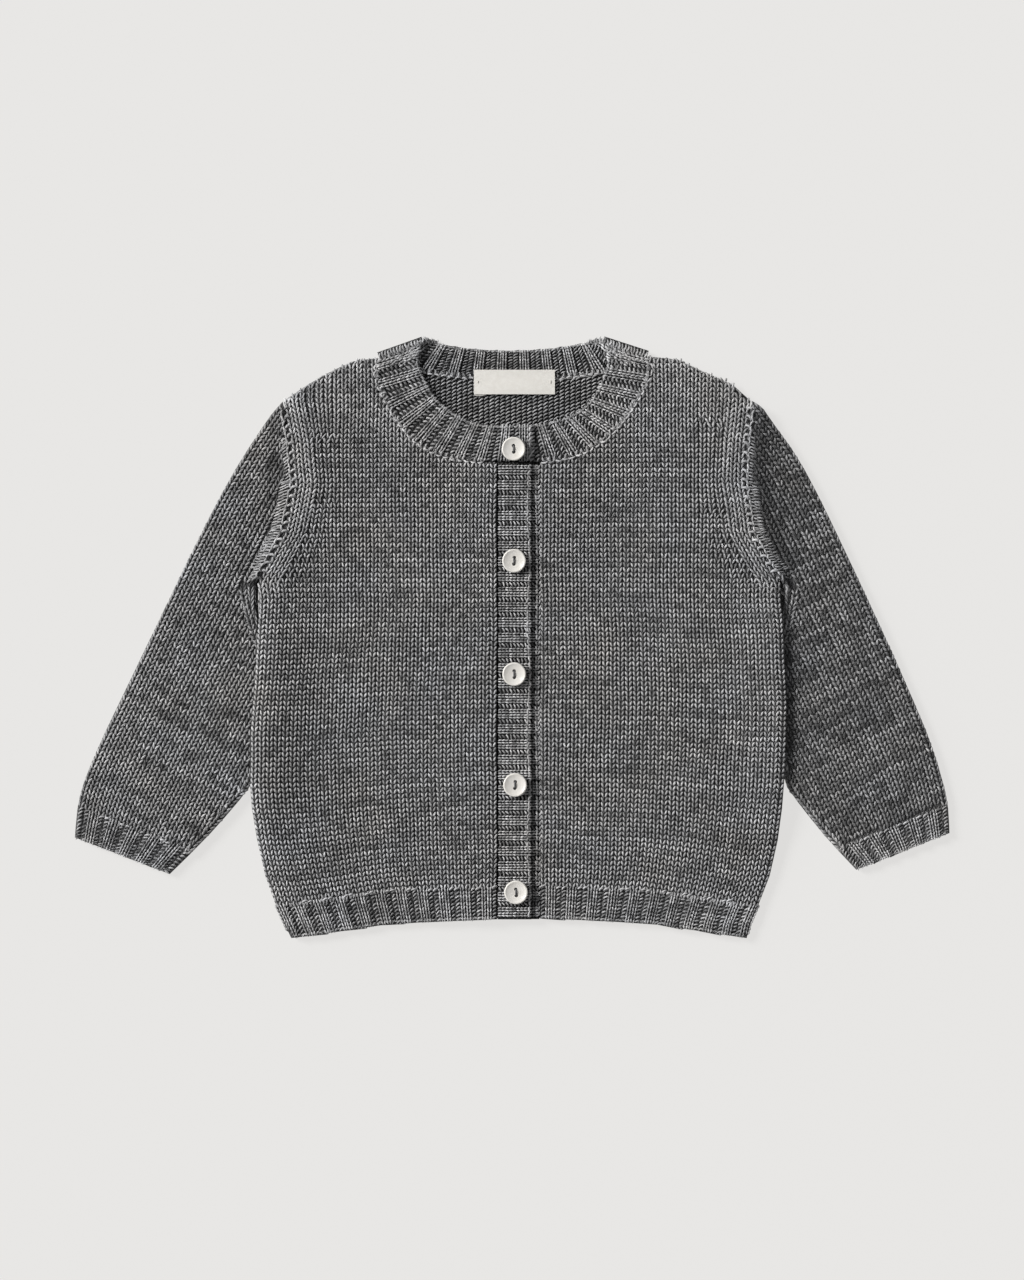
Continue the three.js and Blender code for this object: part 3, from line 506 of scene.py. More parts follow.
@dataclass(frozen=True)
class Strand:
    """One length of yarn in a stitch: its middle line and half sizes, in mm."""

    line: tuple[tuple[float, float, float], ...]
    width: tuple[float, ...]
    height: tuple[float, ...]
    sides: int = 5
    tip: float = 0.2

    def sweep(self, side: int) -> tuple[list[tuple[float, ...]], list[tuple[int, ...]], list]:
        """Build the strand, closed at both tips.

        Args:
            side: 1, or -1 for the strand on the other side of its wale.

        Returns:
            Points, faces, and the place along and around of each face corner.
        """
        line = np.array(self.line) * (side, 1, 1)
        run = np.gradient(line, axis=0)
        run /= np.linalg.norm(run, axis=1)[:, None]
        points = [tuple(line[0])]
        for n, (wide, high) in enumerate(zip(self.width, self.height), start=1):
            across = np.cross(run[n], (0, 0, 1))
            across /= np.linalg.norm(across)
            up = np.cross(across, run[n])
            for k in range(self.sides):
                turn = 2 * math.pi * (k + 0.25) / self.sides
                points.append(tuple(
                    line[n] + across * wide * math.cos(turn) + up * high * math.sin(turn)))
        points.append(tuple(line[-1]))
        rings = len(self.width)
        faces, places = [], []
        for k in range(self.sides):
            after = (k + 1) % self.sides
            near, middle, far = (part / self.sides for part in (k, k + 0.5, k + 1))
            faces.append((0, 1 + after, 1 + k))
            places.append([(0, middle), (self.tip, far), (self.tip, near)])
            for n in range(rings - 1):
                a, b = 1 + n * self.sides, 1 + (n + 1) * self.sides
                faces.append((a + k, a + after, b + after, b + k))
                low, high = (self.tip + (1 - 2 * self.tip) * (n + m) / (rings - 1)
                             for m in (0, 1))
                places.append([(low, near), (low, far), (high, far), (high, near)])
            a = 1 + (rings - 1) * self.sides
            faces.append((a + k, a + after, len(points) - 1))
            places.append([(1 - self.tip, near), (1 - self.tip, far), (1, middle)])
        return points, faces, places


@dataclass(frozen=True)
class StitchForm:
    """A stitch as an object: its strands at the size for which they are drawn."""

    name: str
    wide: float
    tall: float
    strands: tuple[Strand, ...]
    mirrored: bool = True

    def build(self) -> bpy.types.Object:
        """Build the stitch.

        Returns:
            An object with its mesh.
        """
        points, faces, places = [], [], []
        for strand in self.strands:
            for side in (1, -1) if self.mirrored else (1,):
                some, sheets, spots = strand.sweep(side)
                faces += [tuple(n + len(points) for n in sheet) for sheet in sheets]
                points += some
                places += spots
        mesh = bpy.data.meshes.new(self.name)
        mesh.from_pydata((np.array(points) * MM).tolist(), [], faces)
        layer = mesh.uv_layers.new(name="yarn")
        layer.data.foreach_set("uv", [v for spots in places for spot in spots for v in spot])
        face_outwards(mesh)
        return in_scene(mesh)


KNIT = StitchForm("knit_stitch", WALE, COURSE, (Strand(
    line=((0.3, -1.3, -0.75), (0.55, -0.78, 0.0), (0.98, 0.08, 0.4), (1.36, 0.86, 0.0),
          (1.58, 1.4, -0.75)),
    width=(0.4, 0.6, 0.4), height=(0.38, 0.54, 0.38)),))
LONG_KNIT = StitchForm("long_stitch", WALE, COURSE, (Strand(
    line=((0.32, -1.5, -0.6), (0.54, -0.9, 0.05), (0.98, 0.12, 0.38), (1.4, 1.12, 0.02),
          (1.6, 1.7, -0.65)),
    width=(0.42, 0.6, 0.42), height=(0.38, 0.54, 0.38)),))
ROPE = StitchForm("border_stitch", WALE, COURSE, (Strand(
    line=((0.25, -1.6, -0.8), (0.5, -1.0, -0.1), (0.95, 0.1, 0.4), (1.4, 1.15, 0.4),
          (1.65, 1.9, -0.5)),
    width=(0.42, 0.6, 0.45), height=(0.4, 0.56, 0.4)),))
RIB_KNIT = StitchForm("rib_stitch", 2.8, 1.85, (Strand(
    line=((0.46, -1.3, -0.5), (0.55, -0.66, 0.1), (0.7, 0.05, 0.36), (0.83, 0.72, 0.1),
          (0.9, 1.3, -0.5)),
    width=(0.34, 0.47, 0.34), height=(0.34, 0.46, 0.34), sides=4),))
PURL = StitchForm("purl_stitch", 2.8, 1.85, (Strand(
    line=((-1.5, -0.45, -0.3), (-0.95, -0.12, 0.05), (0, 0.1, 0.22), (0.95, 0.12, 0.05),
          (1.5, 0.0, -0.3)),
    width=(0.36, 0.46, 0.36), height=(0.3, 0.38, 0.3), sides=4),), mirrored=False)
LOOP = StitchForm("seam_loop", 3.4, 2.5, (Strand(
    line=((-1.75, -0.5, -0.45), (-1.1, 0.1, 0.15), (0, 0.35, 0.42), (1.1, 0.1, 0.15),
          (1.75, -0.5, -0.45)),
    width=(0.42, 0.52, 0.42), height=(0.4, 0.5, 0.4)),), mirrored=False)
STRAND = StitchForm("cap_strand", 1.3, 4.0, (Strand(
    line=((0, -2.1, -0.35), (0.08, -1.2, 0.1), (0, 0, 0.24), (-0.08, 1.2, 0.1),
          (0, 2.1, -0.35)),
    width=(0.34, 0.42, 0.34), height=(0.34, 0.44, 0.34), sides=4),), mirrored=False)
EDGE = StitchForm("edge_loop", 2.2, 2.0, (Strand(
    line=((-1.2, -0.3, -0.35), (-0.65, 0.05, 0.1), (0, 0.2, 0.26), (0.65, 0.05, 0.1),
          (1.2, -0.3, -0.35)),
    width=(0.36, 0.44, 0.36), height=(0.34, 0.42, 0.34), sides=4),), mirrored=False)
LEAF = StitchForm("back_stitch", WALE, COURSE, (Strand(
    line=((0.15, -1.6, -0.1), (0.95, 0.2, 0.25), (1.65, 1.9, -0.2)),
    width=(0.62,), height=(0.45,), sides=4),))


# Loops laid along a line: how far each strays, in mm, and its shares of the usual size
LOOP_STRAY = 0.12
LOOP_WIDTHS = (0.85, 1.15)
LOOP_HEIGHTS = (0.9, 1.1)


def row_along(line: Array, pitch: float, shift: float = 0.0) -> tuple[Array, Array]:
    """Space points evenly along a line.

    Args:
        line: Its corners.
        pitch: Distance between points.
        shift: Distance to the left of the line, seen along it.

    Returns:
        The points and the line's direction at each.
    """
    run = np.append(0, np.cumsum(np.linalg.norm(np.diff(line, axis=0), axis=1)))
    count = max(2, int(round(run[-1] / pitch)))
    where = run[-1] * (np.arange(count) + 0.5) / count
    reach = 1.5

    def read(at: Array) -> Array:
        """Return the line's points at distances along it."""
        return np.stack([np.interp(at, run, line[:, k]) for k in (0, 1)], axis=1)

    way = read(np.minimum(where + reach, run[-1])) - read(np.maximum(where - reach, 0))
    way /= np.linalg.norm(way, axis=1)[:, None]
    return read(where) + shift * np.stack([-way[:, 1], way[:, 0]], axis=1), way


def loops_along(line: Array, pitch: float, shift: float, tone: tuple[float, float],
                across: bool, seed: int, form: StitchForm, sway: float) -> Loops:
    """Lay a row of loops along a line.

    Args:
        line: Its corners.
        pitch: Distance between loops.
        shift: Distance to the left of the line.
        tone: Middle and spread of their tones.
        across: Turn the loops across the line.
        seed: For their unevenness.
        form: The stitch, for its size.
        sway: Largest turn to either side.

    Returns:
        The loops.
    """
    dice = np.random.default_rng(seed)
    spots, way = row_along(line, pitch, shift)
    count = len(spots)
    lean = np.arctan2(way[:, 1], way[:, 0]) - (math.pi / 2 if across else 0)
    return Loops(spots[:, 0], spots[:, 1] + dice.normal(0, LOOP_STRAY, count),
                 lean + dice.uniform(-sway, sway, count),
                 form.wide * dice.uniform(*LOOP_WIDTHS, count),
                 form.tall * dice.uniform(*LOOP_HEIGHTS, count),
                 np.clip(dice.normal(*tone, count), 0, 1))


def loose_bars(spots: Array, dice: np.random.Generator, leans: tuple[float, float],
               widths: tuple[float, float], tones: tuple[float, float]) -> Loops:
    """Lay a loose bar of yarn at each spot.

    Args:
        spots: Their places.
        dice: Gives their unevenness.
        leans: Least and largest lean.
        widths: Least and largest length.
        tones: Least and largest tone.

    Returns:
        The bars.
    """
    count = len(spots)
    lean, wide = dice.uniform(*leans, count), dice.uniform(*widths, count)
    return Loops(spots[:, 0], spots[:, 1], lean, wide, np.full(count, LOOP.tall),
                 dice.uniform(*tones, count))


class StitchTree:
    """Geometry Nodes that lay one stitch at each point and join them all."""

    def __init__(self) -> None:
        """Build the tree with its named inputs."""
        self.tree = bpy.data.node_groups.new("lay_stitches", "GeometryNodeTree")
        face = self.tree.interface
        face.new_socket("Geometry", in_out="INPUT", socket_type="NodeSocketGeometry")
        self.inputs = {
            name: face.new_socket(name, in_out="INPUT", socket_type=f"NodeSocket{kind}")
            for name, kind in (("Stitch", "Object"), ("Yarn", "Material"), ("Sway", "Float"),
                               ("Unevenness", "Float"), ("Seed", "Int"))
        }
        face.new_socket("Geometry", in_out="OUTPUT", socket_type="NodeSocketGeometry")
        make, link = self.tree.nodes.new, self.tree.links.new
        source = make("NodeGroupInput")
        stitch = make("GeometryNodeObjectInfo")
        link(source.outputs["Stitch"], stitch.inputs["Object"])
        lay = make("GeometryNodeInstanceOnPoints")
        link(source.outputs["Geometry"], lay.inputs["Points"])
        link(stitch.outputs["Geometry"], lay.inputs["Instance"])
        link(self._turn(source), lay.inputs["Rotation"])
        link(self._size(source), lay.inputs["Scale"])
        last = lay.outputs["Instances"]
        for kind in ("GeometryNodeRealizeInstances", "GeometryNodeSetShadeSmooth",
                     "GeometryNodeSetMaterial"):
            node = make(kind)
            link(last, node.inputs[0])
            last = node.outputs[0]
        link(source.outputs["Yarn"], node.inputs["Material"])
        for name in ("turn", "size"):
            drop = make("GeometryNodeRemoveAttribute")
            drop.inputs["Name"].default_value = name
            link(last, drop.inputs["Geometry"])
            last = drop.outputs["Geometry"]
        link(last, make("NodeGroupOutput").inputs[0])

    def _turn(self, source: bpy.types.Node) -> bpy.types.NodeSocket:
        """Turn each stitch as its point says, with a little sway.

        Args:
            source: The tree's input node.

        Returns:
            The rotation's socket.
        """
        make, link = self.tree.nodes.new, self.tree.links.new
        turn = make("FunctionNodeRotateRotation")
        turn.rotation_space = "LOCAL"
        for number, angles in enumerate((self._named("turn"), self._random(source, "Sway", 0))):
            euler = make("FunctionNodeEulerToRotation")
            link(angles, euler.inputs[0])
            link(euler.outputs[0], turn.inputs[number])
        return turn.outputs[0]

    def _size(self, source: bpy.types.Node) -> bpy.types.NodeSocket:
        """Size each stitch as its point says, a little unevenly.

        Args:
            source: The tree's input node.

        Returns:
            The scale's socket.
        """
        uneven = self.tree.nodes.new("ShaderNodeVectorMath")
        uneven.inputs[1].default_value = (1, 1, 1)
        self.tree.links.new(self._random(source, "Unevenness", 1), uneven.inputs[0])
        size = self.tree.nodes.new("ShaderNodeVectorMath")
        size.operation = "MULTIPLY"
        self.tree.links.new(self._named("size"), size.inputs[0])
        self.tree.links.new(uneven.outputs[0], size.inputs[1])
        return size.outputs[0]

    def _named(self, name: str) -> bpy.types.NodeSocket:
        """Read a vector that each point carries.

        Args:
            name: Name of the attribute.

        Returns:
            Its socket.
        """
        node = self.tree.nodes.new("GeometryNodeInputNamedAttribute")
        node.data_type = "FLOAT_VECTOR"
        node.inputs["Name"].default_value = name
        return node.outputs["Attribute"]

    def _random(self, source: bpy.types.Node, name: str, shift: int) -> bpy.types.NodeSocket:
        """Return a random vector from minus to plus an input of the tree.

        Args:
            source: The tree's input node.
            name: The input that gives the largest value.
            shift: Added to the seed.

        Returns:
            The scaled vector.
        """
        dice = self.tree.nodes.new("FunctionNodeRandomValue")
        dice.data_type = "FLOAT_VECTOR"
        dice.inputs[0].default_value = (-1, -1, -1)
        dice.inputs[1].default_value = (1, 1, 1)
        seed = self.tree.nodes.new("ShaderNodeMath")
        seed.inputs[1].default_value = shift
        self.tree.links.new(source.outputs["Seed"], seed.inputs[0])
        self.tree.links.new(seed.outputs[0], dice.inputs["Seed"])
        scaled = self.tree.nodes.new("ShaderNodeVectorMath")
        scaled.operation = "SCALE"
        self.tree.links.new(dice.outputs[0], scaled.inputs[0])
        self.tree.links.new(source.outputs[name], scaled.inputs["Scale"])
        return scaled.outputs[0]


@dataclass
class Needle:
    """Lays stitches on a solid's skin and makes them one piece."""

    tree: StitchTree
    yarn: bpy.types.Material
    sway: float = 0.07
    uneven: float = 0.06
    longest: float = 1.7
    laid: int = 0

    def lay(self, name: str, form: StitchForm, loops: Loops, relief: Relief,
            crisp: bool = False, lift: float = -0.35, under: bool = False,
            tilt: float = 1.0) -> bpy.types.Object:
        """Lay the loops on the skin.

        Args:
            name: Name of the piece.
            form: The stitch to lay.
            loops: Where the stitches go.
            relief: The skin they lie on.
            crisp: Follow the ribs sharply.
            lift: Height of the yarn's middle over the skin.
            under: Lay on the side that faces the table.
            tilt: Share of the skin's slope that the stitches follow.

        Returns:
            The piece, a plain mesh.
        """
        level, *slopes = relief.surface(loops.x, loops.y, crisp)
        slopes = [slope * tilt for slope in slopes]
        normal, turn = self._turns(loops, *slopes, -1 if under else 1)
        size = self._sizes(form, loops, *slopes)
        places = np.stack([loops.x, loops.y, level], axis=1) + normal * lift
        mesh = bpy.data.meshes.new(name)
        mesh.from_pydata((places * MM).tolist(), [], [])
        for key, kind, values in (("turn", "FLOAT_VECTOR", turn), ("size", "FLOAT_VECTOR", size),
                                  ("tone", "FLOAT", loops.tone)):
            layer = mesh.attributes.new(key, kind, "POINT")
            slot = "vector" if kind == "FLOAT_VECTOR" else "value"
            layer.data.foreach_set(slot, np.ascontiguousarray(values, dtype=np.float32).ravel())
        piece = in_scene(mesh)
        stitch = form.build()
        modifier = piece.modifiers.new("stitches", "NODES")
        modifier.node_group = self.tree.tree
        self.laid += 1
        values = {"Stitch": stitch, "Yarn": self.yarn, "Sway": self.sway,
                  "Unevenness": self.uneven, "Seed": SEED + self.laid}
        for key, value in values.items():
            modifier[self.tree.inputs[key].identifier] = value
        graph = bpy.context.evaluated_depsgraph_get()
        result = bpy.data.meshes.new_from_object(
            piece.evaluated_get(graph), preserve_all_data_layers=True, depsgraph=graph)
        piece.modifiers.remove(modifier)
        piece.data = result
        bpy.data.objects.remove(stitch)
        declare(piece)
        LOG.info("%s: %d stitches, %d triangles", name, len(loops.x),
                 sum(len(face.vertices) - 2 for face in result.polygons))
        return piece


    @staticmethod
    def _turns(loops: Loops, slope_x: Array, slope_y: Array, sign: int) -> tuple[Array, Array]:
        """Turn stitches onto a sloping skin.

        Args:
            loops: Where the stitches go.
            slope_x: Slope across at each.
            slope_y: Slope along at each.
            sign: 1 for the upper side, -1 for the one that faces the table.

        Returns:
            The skin's normals and the stitches' Euler angles.
        """
        normal = np.stack([-slope_x, -slope_y, np.ones(len(slope_x))], axis=1) * sign
        normal /= np.linalg.norm(normal, axis=1)[:, None]
        flat = np.stack([-np.sin(loops.lean), np.cos(loops.lean), 0 * loops.lean], axis=1)
        along = flat - normal * np.sum(flat * normal, axis=1)[:, None]
        along /= np.linalg.norm(along, axis=1)[:, None]
        across = np.cross(along, normal)
        return normal, np.stack([
            np.arctan2(along[:, 2], normal[:, 2]),
            -np.arcsin(np.clip(across[:, 2], -1, 1)),
            np.arctan2(across[:, 1], across[:, 0]),
        ], axis=1)

    def _sizes(self, form: StitchForm, loops: Loops, slope_x: Array, slope_y: Array) -> Array:
        """Size stitches, longer where the skin is steep.

        Args:
            form: The stitch to lay.
            loops: Where the stitches go.
            slope_x: Slope across at each.
            slope_y: Slope along at each.

        Returns:
            Their scales.
        """
        rise_along = slope_y * np.cos(loops.lean) - slope_x * np.sin(loops.lean)
        rise_across = slope_x * np.cos(loops.lean) + slope_y * np.sin(loops.lean)
        return np.stack([
            loops.wide / form.wide * np.minimum(np.hypot(1, rise_across), self.longest),
            loops.tall / form.tall * np.minimum(np.hypot(1, rise_along), self.longest),
            np.ones(len(slope_x)),
        ], axis=1)


class Sockets:
    """Short ways to wire shader nodes."""

    def __init__(self, tree: bpy.types.NodeTree) -> None:
        """Work in a node tree."""
        self.tree = tree

    def node(self, kind: str, **inputs: object) -> bpy.types.Node:
        """Make a node.

        Args:
            kind: The node's type.
            inputs: Values or sockets for its inputs, with _ for a space.

        Returns:
            The node.
        """
        node = self.tree.nodes.new(kind)
        for name, value in inputs.items():
            self.feed(node, name.replace("_", " "), value)
        return node

    def feed(self, node: bpy.types.Node, name: str | int, value: object) -> None:
        """Set an input to a value or link it to a socket.

        Args:
            node: The node.
            name: Name or number of the input.
            value: What it gets.
        """
        if isinstance(value, bpy.types.NodeSocket):
            self.tree.links.new(value, node.inputs[name])
        else:
            node.inputs[name].default_value = value

    def math(self, operation: str, first: object, second: object = 0.0,
             clamp: bool = False) -> bpy.types.NodeSocket:
        """Work something out with a Math node.

        Args:
            operation: What it does.
            first: First value or socket.
            second: Second value or socket.
            clamp: Keep the result between 0 and 1.

        Returns:
            The result's socket.
        """
        node = self.tree.nodes.new("ShaderNodeMath")
        node.operation = operation
        node.use_clamp = clamp
        self.feed(node, 0, first)
        self.feed(node, 1, second)
        return node.outputs[0]

    def mix(self, share: object, low: object, high: object,
            blend: str = "MIX") -> bpy.types.NodeSocket:
        """Mix two colours.

        Args:
            share: Share of the second, or the mask that gives it.
            low: First colour.
            high: Second colour.
            blend: How they mix.

        Returns:
            The colour's socket.
        """
        node = self.tree.nodes.new("ShaderNodeMix")
        node.data_type = "RGBA"
        node.blend_type = blend
        self.feed(node, 0, share)
        self.feed(node, 6, low)
        self.feed(node, 7, high)
        return node.outputs[2]

    def noise(self, scale: float, detail: float = 2.0) -> bpy.types.NodeSocket:
        """Make a noise from 0 to 1 on the piece's own place.

        Args:
            scale: Its grains to a metre.
            detail: Its number of finer layers.

        Returns:
            The noise's socket.
        """
        place = self.node("ShaderNodeTexCoord").outputs["Object"]
        node = self.node("ShaderNodeTexNoise", Vector=place, Scale=scale, Detail=detail)
        return node.outputs["Fac"]


def grey(level: float, warm: float = 0.0) -> tuple[float, float, float, float]:
    """Return a linear grey, warmer or cooler by a share."""
    return (level * (1 + warm), level, level * (1 - warm), 1.0)


class MarlGroup:
    """Shader group: colour and height of the two-ply marl yarn."""

    fibre_scale = 1500.0
    fleck_scale = 620.0
    patch_scale = 34.0
    fibre_share = 0.35
    cool = (0.96, 0.99, 1.05, 1.0)
    warm = (1.05, 1.0, 0.94, 1.0)

    def __init__(self) -> None:
        """Build the group."""
        self.tree = bpy.data.node_groups.new("marl_yarn", "ShaderNodeTree")
        face = self.tree.interface
        for name, kind, value in (("Tone", "Float", 0.5), ("Dark", "Color", grey(0.05)),
                                  ("Light", "Color", grey(0.3)), ("Fleck", "Float", 0.5)):
            socket = face.new_socket(name, in_out="INPUT", socket_type=f"NodeSocket{kind}")
            socket.default_value = value
        face.new_socket("Color", in_out="OUTPUT", socket_type="NodeSocketColor")
        face.new_socket("Height", in_out="OUTPUT", socket_type="NodeSocketFloat")
        wire = Sockets(self.tree)
        source = self.tree.nodes.new("NodeGroupInput")
        fibre = wire.noise(self.fibre_scale, 3.0)
        fleck = wire.noise(self.fleck_scale)
        patch = wire.noise(self.patch_scale)
        spread = wire.math("MULTIPLY", wire.math("SUBTRACT", fleck, 0.5), source.outputs["Fleck"])
        share = wire.math("ADD", source.outputs["Tone"], spread)
        share = wire.math("ADD", share, wire.math("MULTIPLY", wire.math(
            "SUBTRACT", fibre, 0.5), self.fibre_share), clamp=True)
        colour = wire.mix(share, source.outputs["Dark"], source.outputs["Light"])
        tint = wire.mix(patch, self.cool, self.warm)
        target = self.tree.nodes.new("NodeGroupOutput")
        wire.feed(target, "Color", wire.mix(1.0, colour, tint, "MULTIPLY"))
        wire.feed(target, "Height", wire.math("ADD", fibre, wire.math("MULTIPLY", fleck, 0.5)))

    def place(self, wire: Sockets, **inputs: object) -> bpy.types.Node:
        """Put the group in a material.

        Args:
            wire: The material's wiring.
            inputs: The group's values there.

        Returns:
            The group's node.
        """
        node = wire.tree.nodes.new("ShaderNodeGroup")
        node.node_tree = self.tree
        for name, value in inputs.items():
            wire.feed(node, name, value)
        return node


def new_material(name: str) -> tuple[bpy.types.Material, Sockets, bpy.types.Node]:
    """Start a material.

    Args:
        name: Its name.

    Returns:
        The material, its wiring and its Principled node.
    """
    material = bpy.data.materials.new(name)
    material.use_nodes = True
    return material, Sockets(material.node_tree), material.node_tree.nodes["Principled BSDF"]


@dataclass(frozen=True)
class WoolFinish:
    """Marl wool yarn with a soft nap."""

    name: str
    dark: float = 0.045
    light: float = 0.69
    fleck: float = 0.75
    nap: float = 0.0003
    roughness: float = 0.88
    sheen: float = 0.35

    def material(self, marl: MarlGroup) -> bpy.types.Material:
        """Build the yarn's material.

        Args:
            marl: The group that colours the yarn.

        Returns:
            The material.
        """
        material, wire, shader = new_material(self.name)
        tone = wire.node("ShaderNodeAttribute")
        tone.attribute_name = "tone"
        yarn = marl.place(wire, Tone=tone.outputs["Fac"], Dark=grey(self.dark),
                          Light=grey(self.light), Fleck=self.fleck)
        bump = wire.node("ShaderNodeBump", Strength=0.5, Distance=self.nap,
                         Height=yarn.outputs["Height"])
        wire.feed(shader, "Base Color", yarn.outputs["Color"])
        wire.feed(shader, "Normal", bump.outputs[0])
        wire.feed(shader, "Roughness", self.roughness)
        wire.feed(shader, "Sheen Weight", self.sheen)
        wire.feed(shader, "Sheen Roughness", 0.6)
        wire.feed(shader, "Specular IOR Level", 0.2)
        return material


@dataclass(frozen=True)
class GroundFinish:
    """The cloth behind the stitches: a much darker marl than the yarn, as painted shade between
    the stitches, with the V pattern of the knit as relief and painted shade in its hollows.
    """

    name: str
    # Greys far below the yarn's own: painted shade between the stitches
    dark: float = 0.04
    light: float = 0.17
    slant: float = 2.2
    depth: float = 0.0008
    roughness: float = 0.92

    def material(self, marl: MarlGroup) -> bpy.types.Material:
        """Build the ground's material.

        Args:
            marl: The group that colours the yarn.

        Returns:
            The material.
        """
        material, wire, shader = new_material(self.name)
        place = wire.node("ShaderNodeTexCoord")
        axes = wire.node("ShaderNodeSeparateXYZ", Vector=place.outputs["Object"])
        across = wire.math("FRACT", wire.math("DIVIDE", axes.outputs["X"], WALE * MM))
        fold = wire.math("ABSOLUTE", wire.math("SUBTRACT", across, 0.5))
        course = wire.math("DIVIDE", axes.outputs["Y"], COURSE * MM)
        phase = wire.math("SUBTRACT", course, wire.math("MULTIPLY", fold, self.slant))
        ridge = wire.math("SINE", wire.math("MULTIPLY", wire.math("FRACT", phase), math.pi))
        leg = wire.math("SINE", wire.math("MULTIPLY", fold, 2 * math.pi))
        height = wire.math("MULTIPLY", ridge, leg)
        # Painted shade: the colour follows the relief, darker in the hollows of the V pattern
        yarn = marl.place(wire, Tone=wire.math("MULTIPLY", height, 0.8), Dark=grey(self.dark),
                          Light=grey(self.light), Fleck=0.5)
        bump = wire.node("ShaderNodeBump", Strength=0.8, Distance=self.depth, Height=height)
        wire.feed(shader, "Base Color", yarn.outputs["Color"])
        wire.feed(shader, "Normal", bump.outputs[0])
        wire.feed(shader, "Roughness", self.roughness)
        wire.feed(shader, "Specular IOR Level", 0.15)
        return material


@dataclass(frozen=True)
class PearlFinish:
    """Cream mother-of-pearl, turned on a lathe."""

    name: str = "pearl"
    rings: float = 95.0
    dull: tuple[float, float, float, float] = (0.80, 0.76, 0.69, 1.0)
    bright: tuple[float, float, float, float] = (0.93, 0.91, 0.87, 1.0)
    groove: tuple[float, float, float, float] = (0.6, 0.56, 0.48, 1.0)
    coat: float = 0.25

    def material(self) -> bpy.types.Material:
        """Build the pearl's material.

        Returns:
            The material.
        """
        material, wire, shader = new_material(self.name)
        ring = wire.node("ShaderNodeAttribute")
        ring.attribute_name = "ring"
        wave = wire.math("SINE", wire.math("MULTIPLY", ring.outputs["Fac"], self.rings))
        cloud = wire.noise(260.0, 3.0)
        tint = wire.mix(cloud, self.dull, self.bright)
        lines = wire.mix(wire.math("MULTIPLY", wire.math("ADD", wave, 1.0), 0.07), tint,
                         self.groove)
        height = wire.math("ADD", wire.math("MULTIPLY", wave, 0.5), wire.noise(900.0))
        bump = wire.node("ShaderNodeBump", Strength=0.35, Distance=0.0001, Height=height)
        wire.feed(shader, "Base Color", lines)
        wire.feed(shader, "Normal", bump.outputs[0])
        wire.feed(shader, "Roughness", wire.math("ADD", wire.math("MULTIPLY", cloud, 0.15), 0.27))
        wire.feed(shader, "Coat Weight", self.coat)
        return material


@dataclass(frozen=True)
class RibbonFinish:
    """Fine cream woven tape."""

    name: str = "woven_tape"
    warp: float = 0.00042
    weft: float = 0.00055
    shade: tuple[float, float, float, float] = (0.74, 0.70, 0.63, 1.0)
    cream: tuple[float, float, float, float] = (0.95, 0.93, 0.88, 1.0)

    def material(self) -> bpy.types.Material:
        """Build the tape's material.

        Returns:
            The material.
        """
        material, wire, shader = new_material(self.name)
        place = wire.node("ShaderNodeTexCoord")
        axes = wire.node("ShaderNodeSeparateXYZ", Vector=place.outputs["Object"])
        waves = [wire.math("SINE", wire.math("MULTIPLY", axes.outputs[axis], 2 * math.pi / pitch))
                 for axis, pitch in (("X", self.warp), ("Y", self.weft))]
        cloth = wire.math("MULTIPLY", wire.math("ADD", wire.math("MULTIPLY", *waves), 1.0), 0.5)
        share = wire.math("ADD", wire.math("MULTIPLY", cloth, 0.5),
                          wire.math("MULTIPLY", wire.noise(500.0), 0.6))
        wire.feed(shader, "Base Color", wire.mix(share, self.shade, self.cream))
        bump = wire.node("ShaderNodeBump", Strength=0.5, Distance=0.0001, Height=cloth)
        wire.feed(shader, "Normal", bump.outputs[0])
        wire.feed(shader, "Roughness", 0.7)
        wire.feed(shader, "Sheen Weight", 0.2)
        return material


@dataclass(frozen=True)
class ThreadFinish:
    """Plied sewing thread."""

    name: str
    dark: tuple[float, float, float, float]
    light: tuple[float, float, float, float]

    def material(self) -> bpy.types.Material:
        """Build the thread's material.

        Returns:
            The material.
        """
        material, wire, shader = new_material(self.name)
        wire.feed(shader, "Base Color", wire.mix(wire.noise(2500.0), self.dark, self.light))
        bump = wire.node("ShaderNodeBump", Strength=0.4, Distance=0.0001,
                         Height=wire.noise(4000.0))
        wire.feed(shader, "Normal", bump.outputs[0])
        wire.feed(shader, "Roughness", 0.75)
        return material


# Shells: their least wall in mm, the slope from which a skin moves whole, the rays' start
# off the skin in m, the slope under which a face has the edge's finish, and the crease angle
LEAST_WALL = 0.5
WHOLE_FROM = 0.6
OFF_SKIN = 1e-5
EDGE_BELOW = 0.25
SHELL_CREASE = 42.0


